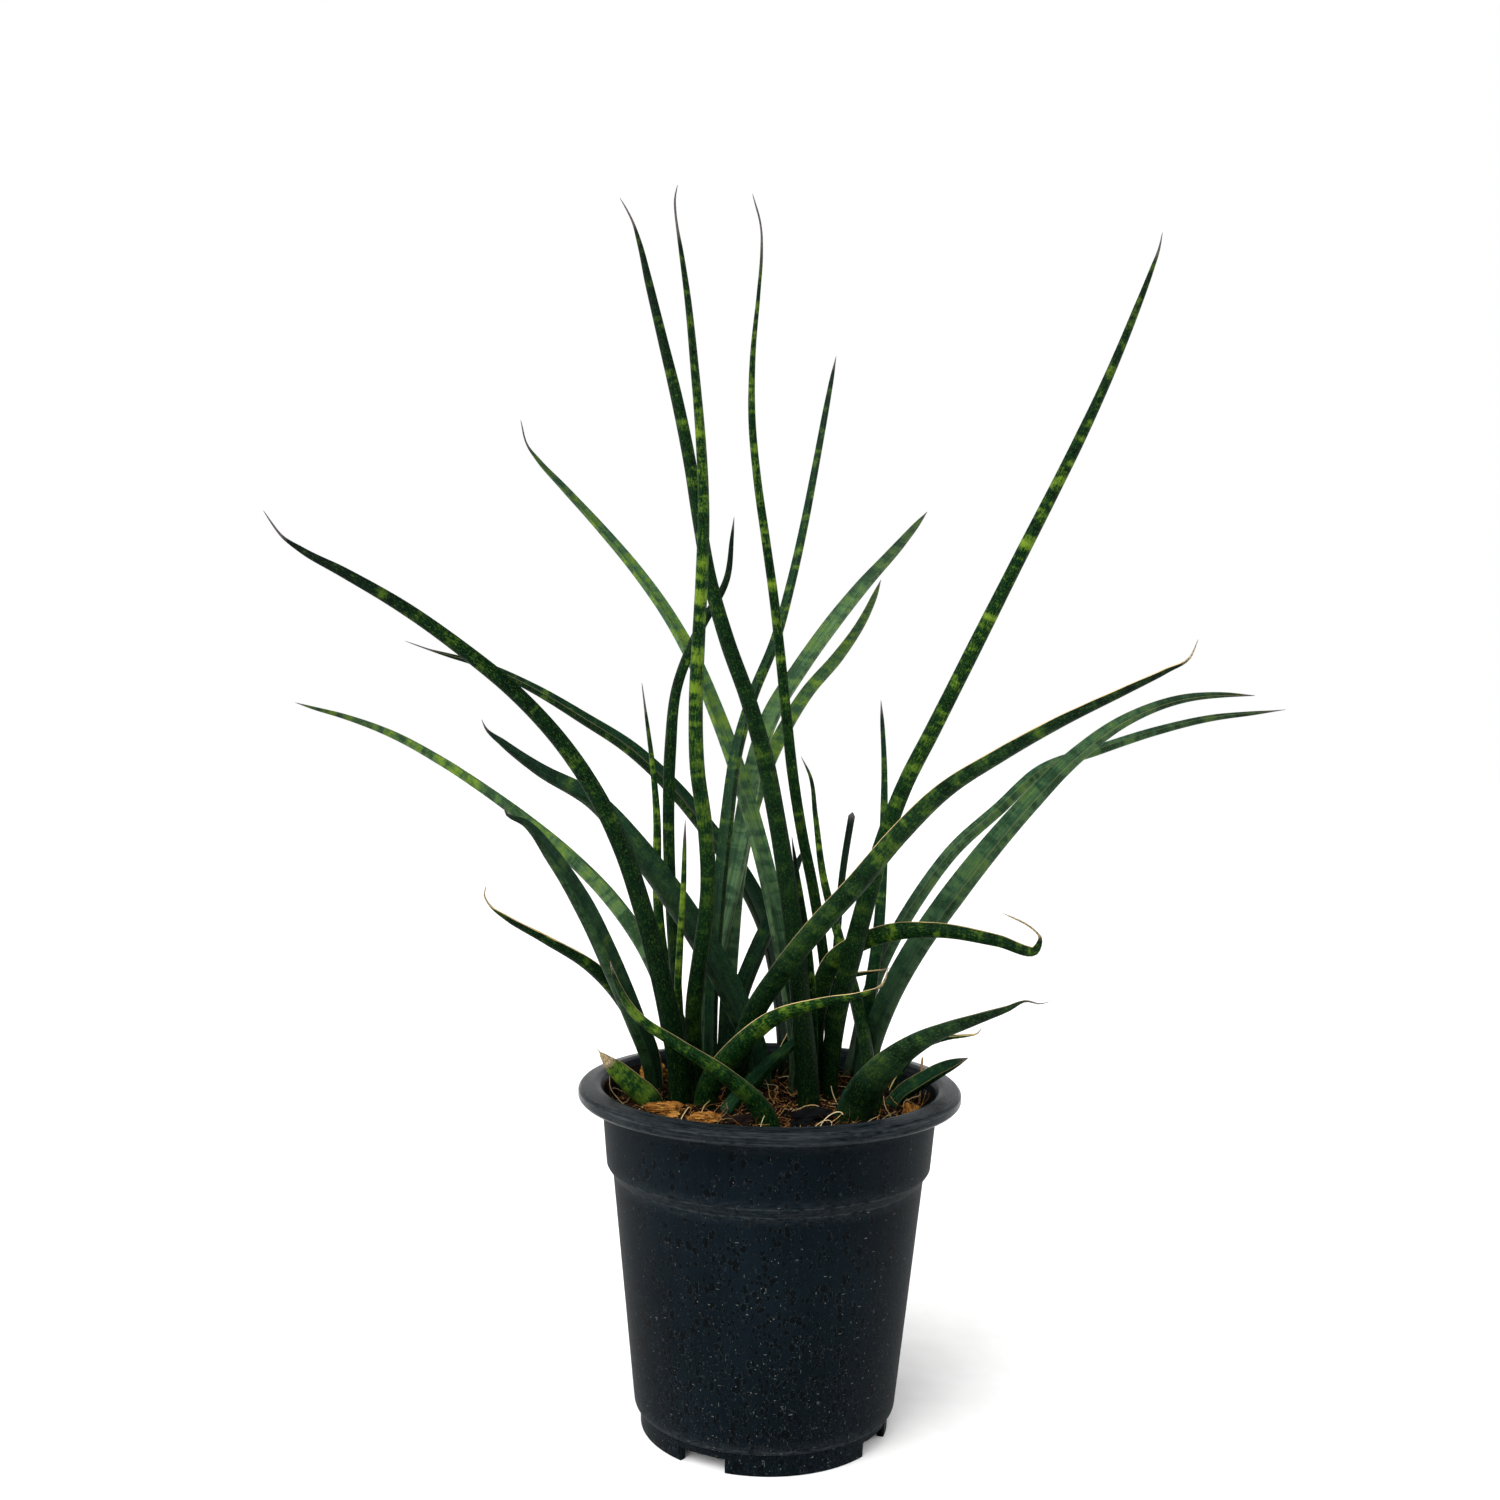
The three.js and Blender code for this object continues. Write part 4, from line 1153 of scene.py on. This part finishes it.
# A root and some straws that stand out at the front, in millimetres and radians.
# The root: its place, how far it strays, and the radius of its loops and of itself.
CURLED_ROOT = ((22, -49), 6.6, 3.9, 0.22)
ROOT_LOOPS = 1.7
# Each straw: where it starts, its heading, its slope, its length and its radius.
FRONT_STRAWS = [
    ((-37, -48), 1.2, 0.75, 13, 0.3),
    ((-31, -53), 2.3, 0.55, 11, 0.26),
    ((-3, -57), 1.5, 1.1, 11, 0.2),
    ((47, -36), 0.3, 0.35, 16, 0.28),
    ((44, -30), 0.9, 0.25, 15, 0.24),
    ((52, -24), 2.0, 0.7, 12, 0.2),
    ((30, 6), 1.9, 1.0, 15, 0.22),
]


def add_front_roots(level):
    """The curled pale root and the few straws that stand out at the front."""
    heap = Heap()
    (x, y), stray, across, radius = CURLED_ROOT
    path = []
    for t in np.linspace(0, 1, 60):
        turn = ROOT_LOOPS * 2 * math.pi * t
        swell = across * (1 - 0.4 * t)
        lift = 5.5 - 3.0 * t + swell * math.sin(turn + 0.6)
        px = x + stray * (0.5 - t) + swell * math.cos(turn)
        py = y + 1.6 * math.cos(0.5 * turn)
        path.append((px * MM, py * MM, level + lift * MM))
    heap.add(*tube(path, np.linspace(radius, 0.5 * radius, len(path)) * MM, 8), 0.8)
    for (x, y), heading, slope, length, radius in FRONT_STRAWS:
        start = soil_height(x * MM, y * MM, level) - 0.5 * MM
        path = []
        for t in np.linspace(0, 1, 12):
            run = length * t * math.cos(slope)
            bow = 1.4 * math.sin(math.pi * t)
            px = x + run * math.cos(heading) - bow * math.sin(heading)
            py = y + run * math.sin(heading) + bow * math.cos(heading)
            path.append((px * MM, py * MM, start + length * t * math.sin(slope) * MM))
        heap.add(*tube(path, np.linspace(radius, 0.5 * radius, len(path)) * MM, 7), 0.7)
    stops = [(0.3, (0.3, 0.19, 0.08)), (0.75, (0.72, 0.6, 0.34))]
    heap.piece("front_roots", earth_shade("front_roots", stops, 700), "husk")


HUSK_HAIRS = 70
LOOSE_LOOKS = {
    # colours from dark to light, and how rough the lump's outline is
    "husk": ([(0.34, (0.03, 0.01, 0.003)), (0.5, (0.23, 0.09, 0.016)), (0.7, (0.62, 0.33, 0.08))], 0.35),
    "bark": (
        [(0.3, (0.003, 0.002, 0.0018)), (0.6, (0.014, 0.009, 0.007)), (0.88, (0.08, 0.056, 0.04))],
        0.4,
    ),
    "charcoal": (
        [(0.35, (0.001, 0.001, 0.0013)), (0.65, (0.004, 0.0046, 0.0055)), (0.9, (0.04, 0.043, 0.047))],
        0.45,
    ),
}


def add_loose_pieces():
    """The husk, bark and charcoal pieces: split, fibrous lumps the size of their CAD solids."""
    slots = {entry["node"]: entry["material_slot"] for entry in frame["record"]["subparts"]}
    for seed, node in enumerate(sorted(n for n in slots if slots[n] in LOOSE_LOOKS)):
        kind = slots[node]
        stops, roughness = LOOSE_LOOKS[kind]
        low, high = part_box(node)
        middle = (low + high) / 2
        size = high - low
        long_way = 0 if size.x > size.y else math.pi / 2
        extent = (max(size.x, size.y), min(size.x, size.y), size.z)
        points, faces = lump(middle, extent, (0, 0, long_way), roughness, seed * 3.1, detail=9)
        shaped = []
        fibres = []
        for p in points:
            local = Matrix.Rotation(-long_way, 3, "Z") @ (p - middle)
            # A box with blunt edges, torn along its length, rather than a ball.
            share = Vector(local[i] / (extent[i] / 2) for i in range(3))
            boxy = max(abs(share.x), abs(share.y), abs(share.z)) / max(share.length, 1e-6)
            torn = noise.noise(Vector((local.x * 90, local.y * 700, local.z * 700)) + Vector((seed, 0, 0)))
            grit = noise.noise(p * 1300)
            grown = (p - middle) * (1 + 0.32 * (1 / boxy - 1))
            shaped.append(middle + grown + (p - middle).normalized() * (0.75 * torn + 0.35 * grit) * MM)
            fibres.append(tuple(local / MM))
        shade = earth_shade(node + "_stuff", stops, 1, (0.12, 1.5, 1.5), skin=True)
        tint = [0.5 + 0.5 * noise.noise(p * 300) for p in shaped]
        values = {"tint": tint, "skin": fibres}
        piece = new_piece(node + "_lump", shaped, faces, shade, values, smooth=False)
        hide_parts(node)
        if kind == "husk":
            add_husk_hairs(node, middle, extent, long_way)


def add_husk_hairs(node, middle, extent, long_way):
    """Fibres that run along a husk chunk and stand off its surface."""
    heap = Heap()
    spin = Matrix.Rotation(long_way, 3, "Z")
    for _ in range(HUSK_HAIRS):
        angle = RANDOM.uniform(0.1, math.pi - 0.1)
        start = RANDOM.uniform(-0.5, 0.25)
        length = RANDOM.uniform(0.2, 0.5)
        path = []
        for i in range(7):
            t = start + length * i / 6
            bulge = math.sqrt(max(0.05, 1 - (2 * min(abs(t), 0.5)) ** 2)) * 0.5
            local = Vector((
                t * extent[0],
                bulge * extent[1] * math.cos(angle + 0.3 * i / 6),
                bulge * extent[2] * math.sin(angle) + RANDOM.uniform(0, 0.25) * MM,
            ))
            path.append(middle + spin @ local)
        points, faces = tube(path, np.full(7, RANDOM.uniform(0.08, 0.16) * MM), 5)
        heap.add(points, faces, RANDOM.random())
    heap.piece(node + "_hairs", earth_shade(node + "_hair", LOOSE_LOOKS["husk"][0], 500), "husk")


TWIG_KNOTS = ((0.72, 0.35), (0.93, 0.3))


def add_twig():
    """The dry twig, a little bent, with two knots near its top."""
    low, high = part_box("twig")
    path = []
    radii = []
    for t in np.linspace(0, 1, 46):
        bend_x, bend_y = (0.25 * MM * noise.noise(Vector(p)) for p in ((t * 5, 0, 0), (0, t * 5, 0)))
        x = low.x + 0.8 * MM + (high.x - low.x - 1.6 * MM) * t + bend_x
        y = (low.y + high.y) / 2 + bend_y
        z = low.z + (high.z - 0.2 * MM - low.z) * t
        knot = 1 + sum(size * math.exp(-(((t - at) / 0.03) ** 2)) for at, size in TWIG_KNOTS)
        path.append((x, y, z))
        radii.append(0.6 * MM * knot * (1 - 0.3 * t))
    points, faces = tube(path, radii, 12)
    heap = Heap()
    heap.add(points, faces, 0.5)
    stops = [(0.25, (0.08, 0.045, 0.02)), (0.55, (0.24, 0.14, 0.06)), (0.85, (0.45, 0.3, 0.15))]
    twig = heap.piece("dry_twig", earth_shade("twig_bark", stops, 500, (1, 1, 0.25)), "twig_wood")
    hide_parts("twig")


# ---- Build ----

add_camera()
add_lights()
add_walls()
add_floor()
add_pot()
SOIL_RADIUS, SOIL_TOP = add_soil()
FEET = leaf_feet()
add_crumbs(SOIL_RADIUS, SOIL_TOP, FEET)
add_fibres(SOIL_RADIUS, SOIL_TOP, FEET)
add_front_roots(SOIL_TOP)
add_loose_pieces()
add_twig()
add_leaves()
